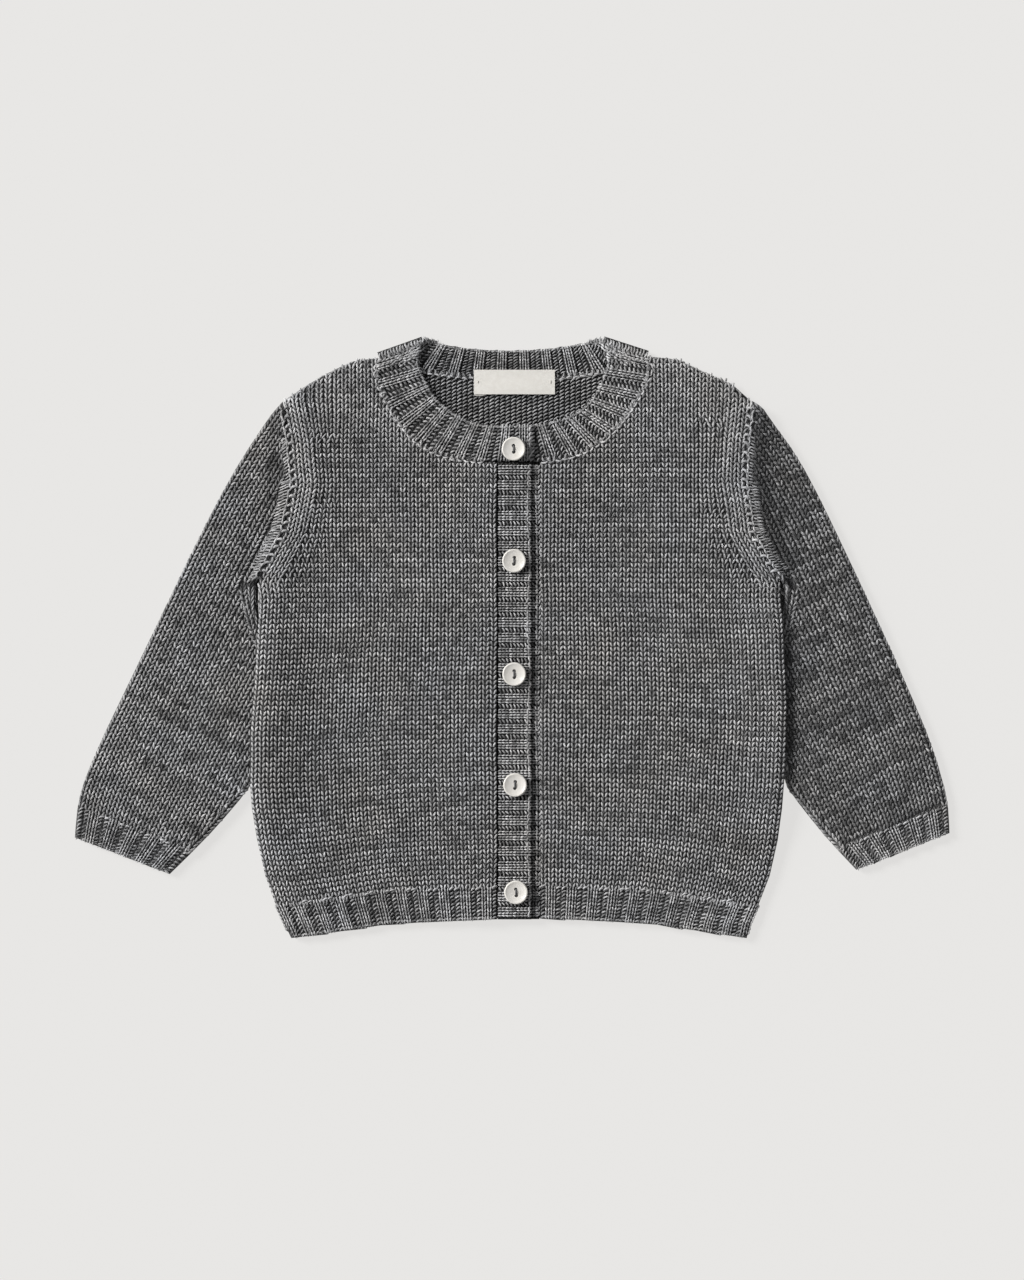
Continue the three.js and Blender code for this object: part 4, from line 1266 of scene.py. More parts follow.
def make_shell(node: str, sink: float, materials: Sequence[bpy.types.Material],
               rise: float = 0.0) -> bpy.types.Object:
    """Copy a solid as a thin closed shell that leaves room for the stitches on it.

    Args:
        node: The solid's name.
        sink: How far its upper skin goes down.
        materials: Its finish under the stitches, and on its edges and its lower side.
        rise: How far its lower skin goes up.

    Returns:
        The shell, which replaces the solid.
    """
    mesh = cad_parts[node].data.copy()
    mesh.name = f"{node}_cloth"
    shell = bmesh.new()
    shell.from_mesh(mesh)
    bmesh.ops.remove_doubles(shell, verts=shell.verts, dist=1e-6)
    bmesh.ops.recalc_face_normals(shell, faces=shell.faces)
    shell.normal_update()
    tree = BVHTree.FromBMesh(shell)
    moves = []
    for vert in shell.verts:
        way, depth = (1, sink) if vert.normal.z > 0 else (-1, rise)
        out = Vector((0, 0, way))
        if tree.ray_cast(vert.co + OFF_SKIN * out, out)[0] is not None:
            continue
        share = min(1.0, abs(vert.normal.z) / WHOLE_FROM)
        wall = tree.ray_cast(vert.co - OFF_SKIN * out, -out)[3]
        if wall is not None and depth > 0:
            depth = min(depth, max(0.0, wall / MM - LEAST_WALL) * depth / (sink + rise))
        moves.append((vert, vert.normal * (-depth * MM * share)))
    for vert, move in moves:
        vert.co += move
    shell.to_mesh(mesh)
    shell.free()
    mesh.materials.clear()
    for material in materials:
        mesh.materials.append(material)
    for face in mesh.polygons:
        face.material_index = int(face.normal.z < EDGE_BELOW)
    mesh.shade_smooth()
    mesh.set_sharp_from_angle(angle=math.radians(SHELL_CREASE))
    piece = in_scene(mesh)
    declare(piece, node)
    return piece


@dataclass
class Wool:
    """What every knitted piece is made with."""

    needle: Needle
    ground: bpy.types.Material
    edge: bpy.types.Material
    sink: float = 0.75
    chain_pitch: float = 1.8
    chain_tone: tuple[float, float] = (0.42, 0.14)
    chain_sway: float = 0.3

    def shell(self, node: str, sink: float | None = None, rise: float = 0.0) -> bpy.types.Object:
        """Return a solid's cloth, sunk under its stitches."""
        depth = self.sink if sink is None else sink
        return make_shell(node, depth, (self.ground, self.edge), rise)

    def trim(self, name: str, loops: Loops, relief: Relief, lift: float,
             tilt: float = 1.0) -> bpy.types.Object:
        """Lay loops of yarn along a seam or an edge.

        Args:
            name: Name of the piece.
            loops: Where they go.
            relief: The skin they lie on.
            lift: Height of the yarn's middle over the skin.
            tilt: Share of the skin's slope that they follow.

        Returns:
            The piece.
        """
        return self.needle.lay(name, LOOP, loops, relief, crisp=True, lift=lift, tilt=tilt)

    def cast_off(self, name: str, line: Array, shift: float, relief: Relief,
                 keep: Callable[[Array, Array], Array] | None = None) -> bpy.types.Object:
        """Close an edge with its chain of loops.

        Args:
            name: Name of the piece.
            line: The edge.
            shift: Distance of the loops to the left of it.
            relief: The skin they lie on.
            keep: Says which places are wanted.

        Returns:
            The chain.
        """
        chain = loops_along(line, self.chain_pitch, shift, self.chain_tone, False,
                            SEED + len(name), EDGE, self.chain_sway)
        if keep is not None:
            chain = chain.keep(keep(chain.x, chain.y))
        return self.needle.lay(name, EDGE, chain, relief, crisp=True, lift=-0.5)


def share_out(start: float, end: float, count: int) -> tuple[Array, Array]:
    """Share a stretch out into ribs.

    Args:
        start: Where it starts.
        end: Where it ends.
        count: Number of ribs.

    Returns:
        Middles of the ribs, and of the furrows on both sides of each.
    """
    pitch = (end - start) / count
    return start + pitch * (np.arange(count) + 0.5), start + pitch * np.arange(count + 1)


def rib_net(centres: Array, offsets: Sequence[float], along: Array,
            place: Callable[[Array, Array], Array]) -> tuple[Array, Array]:
    """Lay wales beside the middle of each rib.

    Args:
        centres: Where the ribs are, along the strip.
        offsets: Distances of the wales from each middle.
        along: Places up each wale.
        place: Gives points from places along the strip and up the wale.

    Returns:
        X and Y, wales by courses.
    """
    run = (centres[:, None] + np.array(offsets)[None, :]).ravel()
    net = place(run[:, None] + 0 * along[None, :], along[None, :] + 0 * run[:, None])
    return net[..., 0], net[..., 1]


@dataclass
class Ribbing:
    """A ribbed strip: pairs of knit wales on the ribs and purl bumps between them."""

    wool: Wool
    relief: Relief
    name: str
    seed: int
    knit_offsets: tuple[float, ...] = (-1.35, 1.35)
    purl_offsets: tuple[float, ...] = (-1.3, 1.3)
    knit_wide: float = 2.7
    purl_wide: float = 2.8
    slant: float = 0.42
    sway: float = 0.25
    margin: float = 0.5
    lift: float = -0.35
    speck: float = 0.22
    bright: float = 0.08
    # Painted shade: how much darker the purl stitches in the furrows are made
    painted_furrow_shade: float = 0.14

    def lay(self, ribs: Array, valleys: Array, along: Array,
            place: Callable[[Array, Array], Array],
            keep: Callable[[Array, Array], Array] | None = None) -> list[bpy.types.Object]:
        """Lay both kinds of stitch.

        Args:
            ribs: Middles of the ribs along the strip.
            valleys: Middles of the furrows.
            along: Places up each wale.
            place: Gives points from places along the strip and up the wale.
            keep: Says which points are wanted.

        Returns:
            The pieces.
        """
        pieces = []
        for kind, form, middles, offsets, wide in (
                ("knit", RIB_KNIT, ribs, self.knit_offsets, self.knit_wide),
                ("purl", PURL, valleys, self.purl_offsets, self.purl_wide)):
            x, y = rib_net(middles, offsets, along, place)
            tone = Marl(self.seed + len(kind), speck=self.speck).tones(*x.shape)
            loops = weave(x, y, tone + self.bright, wide)
            if kind == "purl":
                dice = np.random.default_rng(self.seed)
                loops.lean = loops.lean + self.slant + dice.uniform(
                    -self.sway, self.sway, len(loops.x))
                # Painted shade in the furrows: the purl stitches are darkened
                loops.tone = loops.tone - self.painted_furrow_shade
            loops = loops.keep(self.relief.inside(loops.x, loops.y) > self.margin)
            if keep is not None:
                loops = loops.keep(keep(loops.x, loops.y))
            pieces.append(self.wool.needle.lay(
                f"{self.name}_{kind}", form, loops, self.relief, crisp=True, lift=self.lift))
        return pieces


@dataclass
class FrontPanel:
    """One front: stockinette with shaped armhole wales over a ribbed hem."""

    wool: Wool
    side: Side
    wales: int = 32
    border: int = 3
    top: float = 130.0
    flat: tuple[float, float] = (0.124, 0.292)
    area: float = 0.0345
    overlap: float = 3.0
    hem_height: float = 17.0
    wander: float = 0.35
    margin: float = 1.0
    shoulder_margin: float = 0.75
    shoulder_from: float = 110.0
    upper_from: float = 101.0
    # Painted highlight along the right front's side edge: how much lighter it is, and how far in
    # it fades
    painted_edge_highlight: float = 0.2
    painted_highlight_fade: float = 9.0
    node: str = field(init=False)
    inner: float = field(init=False)

    def __post_init__(self) -> None:
        """Set what depends on the side."""
        self.node = f"front_{self.side.value}"
        self.inner = BAND_WEST - 0.3 if self.side is Side.RIGHT else UNDER_BAND_EAST + 0.3

    def net(self) -> tuple[Array, Array, Array, Array]:
        """Lay out the front.

        Returns:
            X and Y of its wales and courses, which crossings hold a stitch, and which of
            them belong to the border of the armhole.
        """
        u = (np.arange(self.wales) + 0.5) / self.wales
        outer0 = float(self.side.edge(np.array(UNDERARM)))
        x0 = outer0 + u * (self.inner - outer0)
        start = np.interp(x0, HEM[:, 0], HEM[:, 1]) + HEM_BAND
        low = int(round((UNDERARM - start.mean()) / COURSE))
        share = np.arange(low) / low
        below = start[:, None] * (1 - share) + UNDERARM * share
        above = UNDERARM + COURSE * np.arange(int(self.top / COURSE))
        y = np.hstack([below, np.tile(above, (self.wales, 1))])
        outer = self.side.edge(y)
        fitted = outer + u[:, None] * (self.inner - outer)
        shaped = outer + u[:, None] * (self.inner - outer0)
        high = y >= UNDERARM
        edge = np.arange(self.wales)[:, None] < self.border
        x = np.where(high, np.where(edge, shaped, x0[:, None]), fitted)
        # A wale that meets the border ends there, and those beside it share the gap
        pitch = abs(self.inner - outer0) / self.wales
        step = np.abs(x - outer) / pitch - self.border + 0.5
        rank = np.floor(step - 0.6)
        beside = high & ~edge
        shift = (step - rank - 1) * np.clip(0.75 - 0.25 * rank, 0, 1) * pitch
        x = np.where(beside & (rank >= 0), x - np.sign(x - outer) * shift, x)
        return x, y, ~(beside & (rank < 0)), high & edge

    def build(self) -> bpy.types.Object:
        """Build the front.

        Returns:
            The cloth of the front.
        """
        relief = Relief(self.node)
        shell = self.wool.shell(self.node)
        x, y, wanted, border = self.net()
        move_x, move_y = drift(x, y, self.wander)
        tone = Marl(SEED + len(self.node)).tones(*x.shape)
        # Painted highlight: stitches near the right front's side edge are made lighter, standing
        # for the light on its rolled edge
        if self.side is Side.RIGHT:
            away = (x - self.side.edge(y)) / self.painted_highlight_fade
            tone = tone + self.painted_edge_highlight * np.exp(-(away**2))
        loops = weave(x + move_x, y + move_y, tone)
        loops.wide = np.clip(loops.wide, *WALE_WIDTHS)
        margin = np.where(loops.y > self.shoulder_from, self.shoulder_margin, self.margin)
        wanted = wanted.ravel() & (relief.inside(loops.x, loops.y) > margin)
        upper = loops.y > self.upper_from + 4 * np.sin(loops.x / 7)
        pieces = [
            self.wool.needle.lay(f"{self.node}_{name}", form, loops.keep(wanted & part), relief)
            for name, form, part in (("stitches", KNIT, ~border.ravel() & ~upper),
                                     ("upper_stitches", LONG_KNIT, ~border.ravel() & upper),
                                     ("border", ROPE, border.ravel()))]
        pieces += self.hem(relief)
        pieces.append(self.wool.cast_off(f"{self.node}_shoulder", self.shoulder(relief), 0.0,
                                         relief))
        if self.side is Side.LEFT:
            pieces.append(self.selvedge(relief))
        return shell

    def shoulder(self, relief: Relief) -> Array:
        """Find the line of the shoulder, from the neckband to the armhole.

        Args:
            relief: The front's skin.

        Returns:
            Its points.
        """
        x = -self.side.inward * np.arange(50.0, 116.0, 1.5)
        y = np.arange(105.0, 151.0, 0.2)
        across, along = np.meshgrid(x, y, indexing="ij")
        kept = (relief.inside(across.ravel(), along.ravel()) > 0.7).reshape(across.shape)
        top = y[len(y) - 1 - np.argmax(kept[:, ::-1], axis=1)]
        return np.column_stack([x, top])[kept.any(axis=1)]

    def selvedge(self, relief: Relief) -> bpy.types.Object:
        """Lay the wale that rolls over the band beside it, at the height of the next one.

        Args:
            relief: The front's skin.

        Returns:
            The stitches.
        """
        y = np.linspace(BAND_BOTTOM + 1.5, BAND_TOP - 1, 90)
        line = np.column_stack([self.inner - 1.0 + self.overlap + 0.35 * np.sin(y / 19), y])
        chain = loops_along(line, COURSE, 0, (0.5, 0.15), True, SEED + 67, KNIT, 0.06)
        chain.wide = chain.wide * 0.82
        piece = self.wool.needle.lay(f"{self.node}_selvedge", KNIT, chain, relief, lift=-0.6)
        piece.data.transform(Matrix.Translation((-self.overlap * MM, 0, 0)))
        return piece

    def corner(self) -> float:
        """Return the hem's end at the side edge."""
        return float(self.side.edge(SIDE_Y[0]))

    def hem_place(self, run: Array, rise: Array) -> Array:
        """Give points of the hem.

        Args:
            run: Distance from the side edge, along the hem.
            rise: Height over the hem's line.

        Returns:
            The points.
        """
        low = self.corner()
        u = run / abs(self.inner - low)
        y = np.interp(low + (self.inner - low) * u, HEM[:, 0], HEM[:, 1]) + rise
        outer = self.side.edge(y)
        return np.stack([outer + (self.inner - outer) * u, y], axis=-1)

    def hem(self, relief: Relief) -> list[bpy.types.Object]:
        """Lay the ribbed hem.

        Args:
            relief: The front's skin.

        Returns:
            The pieces.
        """
        ribs, valleys = share_out(SIDE_ROLL, abs(self.inner - self.corner()), HEM_RIBS)
        side_rib = 1.6
        ribbing = Ribbing(self.wool, relief, f"{self.node}_hem", SEED + 7)
        pieces = ribbing.lay(np.append(ribs, side_rib), valleys,
                             np.arange(0.9, self.hem_height, RIB_COURSE), self.hem_place)
        dice = np.random.default_rng(SEED + 9)
        run = (valleys[1:, None] + np.array([-1.2, 1.1])[None, :]).ravel()
        spots = self.hem_place(run, 16.2 + dice.normal(0, 0.35, len(run)))
        bars = loose_bars(spots, dice, (0.15, 0.7), (2.9, 3.6), (0.62, 0.95))
        bars = bars.keep(relief.inside(bars.x, bars.y) > 1)
        pieces.append(self.wool.trim(f"{self.node}_hem_bars", bars, relief, -0.1))
        ends = sorted((self.corner(), self.inner))
        x = np.linspace(ends[0] + 1.5, ends[1] - 0.5, 60)
        edge = np.column_stack([x, np.interp(x, HEM[:, 0], HEM[:, 1])])
        pieces.append(self.wool.cast_off(f"{self.node}_hem_edge", edge, 0.9, relief))
        return pieces


def lay_under(node: str, loops: Loops, needle: Needle) -> bpy.types.Object:
    """Lay the stitches of the side that faces the table.

    Args:
        node: The solid's name.
        loops: Places of the stitches.
        needle: Lays them.

    Returns:
        The piece.
    """
    relief = Relief(node, under=True)
    loops = loops.keep(relief.inside(loops.x, loops.y) > 2.0)
    return needle.lay(f"{node}_under_stitches", LEAF, loops, relief, crisp=True, lift=-0.85,
                      under=True, tilt=0.6)


@dataclass
class BackPanel:
    """The back: its inside shows in the neck opening, its outside lies on the table."""

    wool: Wool
    flat: tuple[float, float] = (0.262, 0.292)
    area: float = 0.0718
    purl_wale: float = 2.7
    purl_course: float = 1.8
    purl_wide: float = 3.0
    purl_lean: float = 0.46

    def build(self) -> bpy.types.Object:
        """Build the back.

        Returns:
            The cloth of the back.
        """
        relief = Relief("back")
        shell = self.wool.shell("back", self.wool.sink * 0.6, UNDER_SINK)
        x, y = np.meshgrid(np.arange(-56.0, 58.0, self.purl_wale),
                           np.arange(88.0, 134.0, self.purl_course), indexing="ij")
        y = y + self.purl_course / 2 * (np.arange(len(y)) % 2)[:, None]
        # The inside purl is made a little darker, as painted shade in the neck opening
        loops = weave(x, y, Marl(SEED + 3).tones(*x.shape) - 0.02, self.purl_wide)
        loops.lean = loops.lean + self.purl_lean
        loops = loops.keep(relief.inside(loops.x, loops.y) > 1.0)
        pieces = [self.wool.needle.lay("back_inside_purl", PURL, loops, relief, lift=-0.1)]
        x, y = np.meshgrid(np.arange(-136.0, 142.0, WALE), np.arange(-148.0, 150.0, COURSE),
                           indexing="ij")
        loops = weave(x, y, Marl(SEED + 4).tones(*x.shape))
        pieces.append(lay_under("back", loops, self.wool.needle))
        return shell


@dataclass
class Sleeve:
    """A set-in sleeve: stockinette along its outer fold and a ribbed cuff."""

    wool: Wool
    side: Side
    cuff: float = 15.5
    cuff_width: float = 51.0
    wales: int = 21
    wander: float = 0.3
    margin: float = 0.6
    border_room: float = 2.9
    flat: tuple[float, float] = (0.150, 0.222)
    area: float = 0.0285
    node: str = field(init=False)
    rows: Array = field(init=False)

    def __post_init__(self) -> None:
        """Set what depends on the side."""
        self.node = f"sleeve_{self.side.value}"
        self.rows = SLEEVE_RIGHT if self.side is Side.RIGHT else SLEEVE_LEFT

    def hidden(self, x: Array, y: Array) -> Array:
        """Say which places lie under the body."""
        return (x - self.side.edge(y)) * self.side.inward > 1.5

    def on_cap(self, x: Array, y: Array) -> Array:
        """Say which places lie on the smooth strip beside the armhole."""
        away = np.abs(x - self.side.edge(y))
        return (away < np.interp(y, CAP[:, 0], CAP[:, 1]) + 0.8) & (y > 27)

    def tone_drop_and_painted_shade(self, x: Array, y: Array) -> Array:
        """Say how much to darken the yarn: a set drop over the whole sleeve, larger on the left
        sleeve, plus painted shade in the dip beside the armhole.

        Args:
            x: Places across.
            y: Places along.

        Returns:
            What to take off the tone.
        """
        away = np.abs(x - self.side.edge(y)) - np.interp(y, CAP[:, 0], CAP[:, 1])
        # A set drop in tone, plus painted shade in the dip beside the armhole
        if self.side is Side.RIGHT:
            return 0.09 + 0.34 * np.exp(-(((away - 6) / 5) ** 2) - ((y - 86) / 26) ** 2)
        dip = 0.38 * np.exp(-(((away - 2.5) / 4.5) ** 2)) + 0.14 * np.exp(-((away / 16) ** 2))
        return 0.26 + dip * smooth(y, 15, 45) * (1 - smooth(y, 98, 116))

    def underarm(self) -> tuple[Array, Loops]:
        """Lay the wale that follows the underarm edge.

        Returns:
            The edge, from the cuff up, and the loops.
        """
        edge = read_rows(self.rows[:, 2:], np.linspace(11.2, 1.6, 160))
        return edge, loops_along(edge, COURSE, 1.9 * self.side.inward, (0.38, 0.12), True,
                                 SEED + 13, ROPE, 0.08)

    def net(self) -> tuple[Array, Array]:
        """Lay out the sleeve.

        Returns:
            X and Y of its wales and courses.
        """
        origin = self.rows[2, :2]
        axis = self.rows[10, :2] - origin
        axis /= np.linalg.norm(axis)
        inward = self.side.inward * np.array((-axis[1], axis[0]))
        fold = read_rows(self.rows[:, :2], np.linspace(0, 12, 121)) - origin
        fold_s, fold_n = fold @ axis, fold @ inward
        s = np.arange(236.0, -12.0, -COURSE)
        wale = np.arange(self.wales)
        bend = np.interp(s, fold_s, fold_n)
        fade = np.exp(-((wale / 8.0) ** 2))
        across = 1.7 + WALE * wale[:, None] + bend[None, :] * fade[:, None]
        points = origin + across[..., None] * inward + s[None, :, None] * axis
        return points[..., 0], points[..., 1]

    def cuff_place(self, run: Array, rise: Array) -> Array:
        """Give points of the cuff.

        Args:
            run: Share of the way from the outer fold to the underarm.
            rise: Distance from the cuff's end.

        Returns:
            The points.
        """
        row = read_rows(self.rows, 12 - rise / 16.2)
        share = run[..., None]
        return row[..., :2] * (1 - share) + row[..., 2:] * share

    def build(self) -> bpy.types.Object:
        """Build the sleeve.

        Returns:
            The cloth of the sleeve.
        """
        relief = Relief(self.node)
        shell = self.wool.shell(self.node, rise=UNDER_SINK)
        x, y = self.net()
        move_x, move_y = drift(y, x, self.wander)
        loops = weave(x + move_x, y + move_y, Marl(SEED + 11 + len(self.node)).tones(*x.shape))
        loops.wide = np.clip(loops.wide, *WALE_WIDTHS)
        # Darken the tone: a set drop, and painted shade in the dip beside the armhole
        loops.tone = np.clip(loops.tone - self.tone_drop_and_painted_shade(loops.x, loops.y), 0, 1)
        end = self.rows[12].reshape(2, 2)
        line = (end[1] - end[0]) / np.linalg.norm(end[1] - end[0])
        off = np.abs((loops.x - end[0, 0]) * line[1] - (loops.y - end[0, 1]) * line[0])
        pieces = [lay_under(self.node, loops, self.wool.needle)]
        edge, border = self.underarm()
        room = np.min([np.hypot(loops.x - x, loops.y - y) for x, y in edge], axis=0)
        upper = loops.keep((room > self.border_room) & (off > self.cuff - 1))
        for name, form, part in (("stitches", LONG_KNIT, upper), ("border", ROPE, border)):
            part = part.keep((relief.inside(part.x, part.y) > self.margin)
                             & ~self.hidden(part.x, part.y) & ~self.on_cap(part.x, part.y))
            pieces.append(self.wool.needle.lay(f"{self.node}_{name}", form, part, relief))
        start = SLEEVE_ROLL / self.cuff_width
        ribs, valleys = share_out(start, 1 - start, CUFF_RIBS)
        offsets = (-1.3 / self.cuff_width, 1.3 / self.cuff_width)
        ribbing = Ribbing(self.wool, relief, f"{self.node}_cuff", SEED + 17,
                          knit_offsets=offsets, purl_offsets=offsets, lift=-0.1, painted_furrow_shade=0.22)
        pieces += ribbing.lay(ribs, valleys, np.arange(0.9, 16.2, RIB_COURSE), self.cuff_place)
        dice = np.random.default_rng(SEED + 19)
        run = (valleys[1:-1, None] + np.array(offsets)[None, :]).ravel()
        spots = self.cuff_place(run, self.cuff + dice.normal(0, 0.3, len(run)))
        bars = loose_bars(spots, dice, (0.1, 0.6), (2.8, 3.4), (0.5, 0.85))
        bars.lean = bars.lean + math.atan2(line[1], line[0]) + (
            0 if self.side is Side.RIGHT else math.pi)
        pieces.append(self.wool.trim(f"{self.node}_cuff_bars", bars, relief, -0.1))
        inset = end + 0.03 * (end[::-1] - end)
        pieces.append(self.wool.cast_off(f"{self.node}_cuff_edge", inset,
                                         0.9 * self.side.inward, relief))
        return shell


@dataclass
class BandPath:
    """A stretch of the neckband, read by distance along it and share across it."""

    rows: Array
    table: Array = field(init=False)
    run: Array = field(init=False)

    def __post_init__(self) -> None:
        """Measure the stretch along its middle."""
        self.table = read_rows(self.rows, np.linspace(0, len(self.rows) - 1, 200))
        middle = (self.table[:, :2] + self.table[:, 2:]) / 2
        self.run = np.append(0, np.cumsum(np.linalg.norm(np.diff(middle, axis=0), axis=1)))

    def place(self, where: Array, up: Array) -> Array:
        """Give points of the stretch.

        Args:
            where: Distances along it.
            up: Shares of the way from its seam to its loose edge.

        Returns:
            The points.
        """
        row = np.stack([np.interp(where, self.run, self.table[:, k]) for k in range(4)], axis=-1)
        share = up[..., None]
        return row[..., 2:] * (1 - share) + row[..., :2] * share


@dataclass
class Neckband:
    """Ribbed strip round the neck, picked up along the seam."""

    wool: Wool
    flat: tuple[float, float] = (0.392, 0.0185)

    def build(self) -> bpy.types.Object:
        """Build the neckband.

        Returns:
            The cloth of the band.
        """
        relief = Relief("neckband")
        shell = self.wool.shell("neckband")
        pieces = []

        def free_of(x: Array, y: Array) -> Array:
            """Leave room for the button's thread."""
            return np.hypot(x - BUTTONS[0][0], y - BUTTONS[0][1]) > THREAD_ROOM

        for name, rows, pitch, keep in (
                ("over", NECK_OVER, NECK_PITCH, free_of),
                ("inside", NECK_BACK, BACK_NECK_PITCH, free_of),
                ("under", NECK_UNDER, NECK_PITCH, lambda x, y: (x > BAND_EAST + 0.8) | (y > 112))):
            path = BandPath(rows)
            ribs, valleys = share_out(0, path.run[-1], round(path.run[-1] / pitch))
            ribbing = Ribbing(self.wool, relief, f"neckband_{name}", SEED + 23 + len(name),
                              margin=0.7)
            pieces += ribbing.lay(ribs, valleys, np.linspace(0.04, 0.96, 10),
                                  path.place, keep)
            shift = -0.8 if name == "inside" else 0.8
            pieces.append(self.wool.cast_off(f"neckband_{name}_edge", path.table[2:-2, :2], shift,
                                             relief, keep))
        for name, row, sign in (("right", NECK_OVER[-1], -1), ("left", NECK_UNDER[0], 1)):
            fold = row.reshape(2, 2)
            loops = loops_along(fold, 1.6, sign * 0.5, (0.5, 0.14), True, SEED + 71, LOOP, 0.3)
            pieces.append(self.wool.trim(f"neckband_fold_{name}", loops, relief, -0.3, 0.6))
            roll = np.array([(sign * x + 0.5, y) for x, y in NECK_ROLL])
            spots = row_along(roll, 1.5)[0]
            level = relief.surface(spots[:, 0], spots[:, 1] - 1.5, True)[0] - 1.0
            sweep_tube(f"neckband_roll_{name}", np.column_stack([spots, np.maximum(level, 1.2)]),
                       0.9, 0.8, self.wool.edge)
            loops = loops_along(roll, 1.5, 0, (0.45, 0.14), True, SEED + 67, LOOP, 0.4)
            pieces.append(self.wool.trim(f"neckband_roll_{name}_loops", loops, relief, -0.2,
                                         0.5))
        end = loops_along(np.array([(BAND_EAST - 1.4, 90.0), (BAND_EAST - 1.4, 106.0)]), 2.9, 0,
                          (0.6, 0.16), False, SEED + 63, LOOP, 0.5)
        pieces.append(self.wool.trim("neckband_end", end, relief, -0.25))
        return shell


@dataclass
class FrontBand:
    """Ribbed band along a front edge, its wales running across it."""

    wool: Wool
    over: bool

    def shows(self, x: Array, y: Array) -> Array:
        """Say where stitches show: off the threads, or clear of the upper band.

        Args:
            x: Places across.
            y: Places along.

        Returns:
            True where they show.
        """
        if not self.over:
            return x > BAND_EAST - 2.5
        return np.all([np.hypot(x - cx, y - cy) > THREAD_ROOM for cx, cy in BUTTONS[1:]],
                      axis=0)

    def build(self) -> bpy.types.Object:
        """Build the band.

        Returns:
            The cloth of the band.
        """
        node = "buttonhole_band" if self.over else "button_band"
        west, east = (BAND_WEST, BAND_EAST) if self.over else (UNDER_BAND_EAST, UNDER_BAND_WEST)
        relief = Relief(node)
        shell = self.wool.shell(node)
        way = 1 if east > west else -1

        def place(run: Array, up: Array) -> Array:
            """Point at a height of the band, up from its seam to its loose edge."""
            return np.stack([west + way * up + 0 * run, BAND_BOTTOM + run], axis=-1)

        length = BAND_TOP - BAND_BOTTOM
        ribs, valleys = share_out(0, length, BAND_RIBS)
        ribbing = Ribbing(self.wool, relief, node, SEED + 31 + self.over, margin=0.6,
                          purl_offsets=(0.0,), purl_wide=2.6, knit_offsets=(-1.4, 1.4))
        along = np.arange(1.2, abs(east - west) - 1.4, RIB_COURSE)
        pieces = ribbing.lay(ribs, valleys[1:-1], along, place, self.shows)
        if self.over:
            y = np.linspace(BAND_BOTTOM + 1, BAND_TOP - 1, 80)
            bulge = sum(np.exp(-(((y - cy) / BULGE_REACH) ** 2)) for cx, cy in BUTTONS)
            edge = BAND_EAST - BAND_BULGE + BAND_BULGE * bulge - 1.3
            chain = loops_along(np.column_stack([edge, y]), 2.9, 0, (0.48, 0.16), False,
                                SEED + 61, LOOP, 0.5)
            pieces.append(self.wool.trim(f"{node}_edge", chain, relief, -0.25))
        return shell


def lathe(name: str, profile: Sequence[tuple[float, float]], sides: int) -> bpy.types.Mesh:
    """Turn a profile round the upright axis into a closed mesh.

    Args:
        name: Name of the mesh.
        profile: Radius and height of its points, from the lower middle to the upper one.
        sides: Number of sides.

    Returns:
        The mesh, with its rings numbered from the middle in the attribute ring.
    """
    made = bmesh.new()
    rings = []
    for radius, height in profile:
        if radius == 0:
            rings.append([made.verts.new((0, 0, height * MM))])
            continue
        rings.append([made.verts.new((radius * MM * math.cos(turn), radius * MM * math.sin(turn),
                                      height * MM))
                      for turn in (2 * math.pi * k / sides for k in range(sides))])
    for low, high in zip(rings, rings[1:]):
        for k in range(sides):
            after = (k + 1) % sides
            corners = [low[k % len(low)], low[after % len(low)], high[after % len(high)],
                       high[k % len(high)]]
            made.faces.new(list(dict.fromkeys(corners)))
    bmesh.ops.recalc_face_normals(made, faces=made.faces)
    mesh = bpy.data.meshes.new(name)
    made.to_mesh(mesh)
    made.free()
    return mesh


def tube(path: Array, wide: float, high: float, sides: int,
         across: tuple[float, ...] | None = None) -> tuple[Array, list[tuple[int, ...]]]:
    """Lay rings round a path and close their ends.

    Args:
        path: Points of its middle line.
        wide: Half its width.
        high: Half its height.
        sides: Points of each ring.
        across: Direction of its width, if that isn't level and square to the path.

    Returns:
        Points and faces.
    """
    run = np.gradient(path, axis=0)
    run /= np.linalg.norm(run, axis=1)[:, None]
    level = np.cross(run, (0, 0, 1.0)) if across is None else np.full(path.shape, across)
    level /= np.linalg.norm(level, axis=1)[:, None]
    up = np.cross(level, run)
    turns = 2 * math.pi * np.arange(sides) / sides
    rings = (path[:, None] + wide * np.cos(turns)[None, :, None] * level[:, None]
             + high * np.sin(turns)[None, :, None] * up[:, None])
    numbers = np.arange(len(path) * sides).reshape(-1, sides).tolist()
    faces = [face for low, far in zip(numbers, numbers[1:])
             for face in zip(low, low[1:] + low[:1], far[1:] + far[:1], far)]
    return rings.reshape(-1, 3), faces + [tuple(numbers[0]), tuple(numbers[-1][::-1])]


def sweep_tube(name: str, path: Array, wide: float, high: float,
               material: bpy.types.Material, sides: int = 6) -> bpy.types.Object:
    """Sweep a flattened round along a path and close its ends.

    Args:
        name: Name of the piece.
        path: Points of its middle line.
        wide: Half its width.
        high: Half its height.
        material: Its finish.
        sides: Sides of the round.

    Returns:
        The piece.
    """
    mesh = mesh_of(name, *tube(path, wide, high, sides))
    mesh.materials.append(material)
    mesh.shade_smooth()
    piece = in_scene(mesh)
    declare(piece)
    return piece


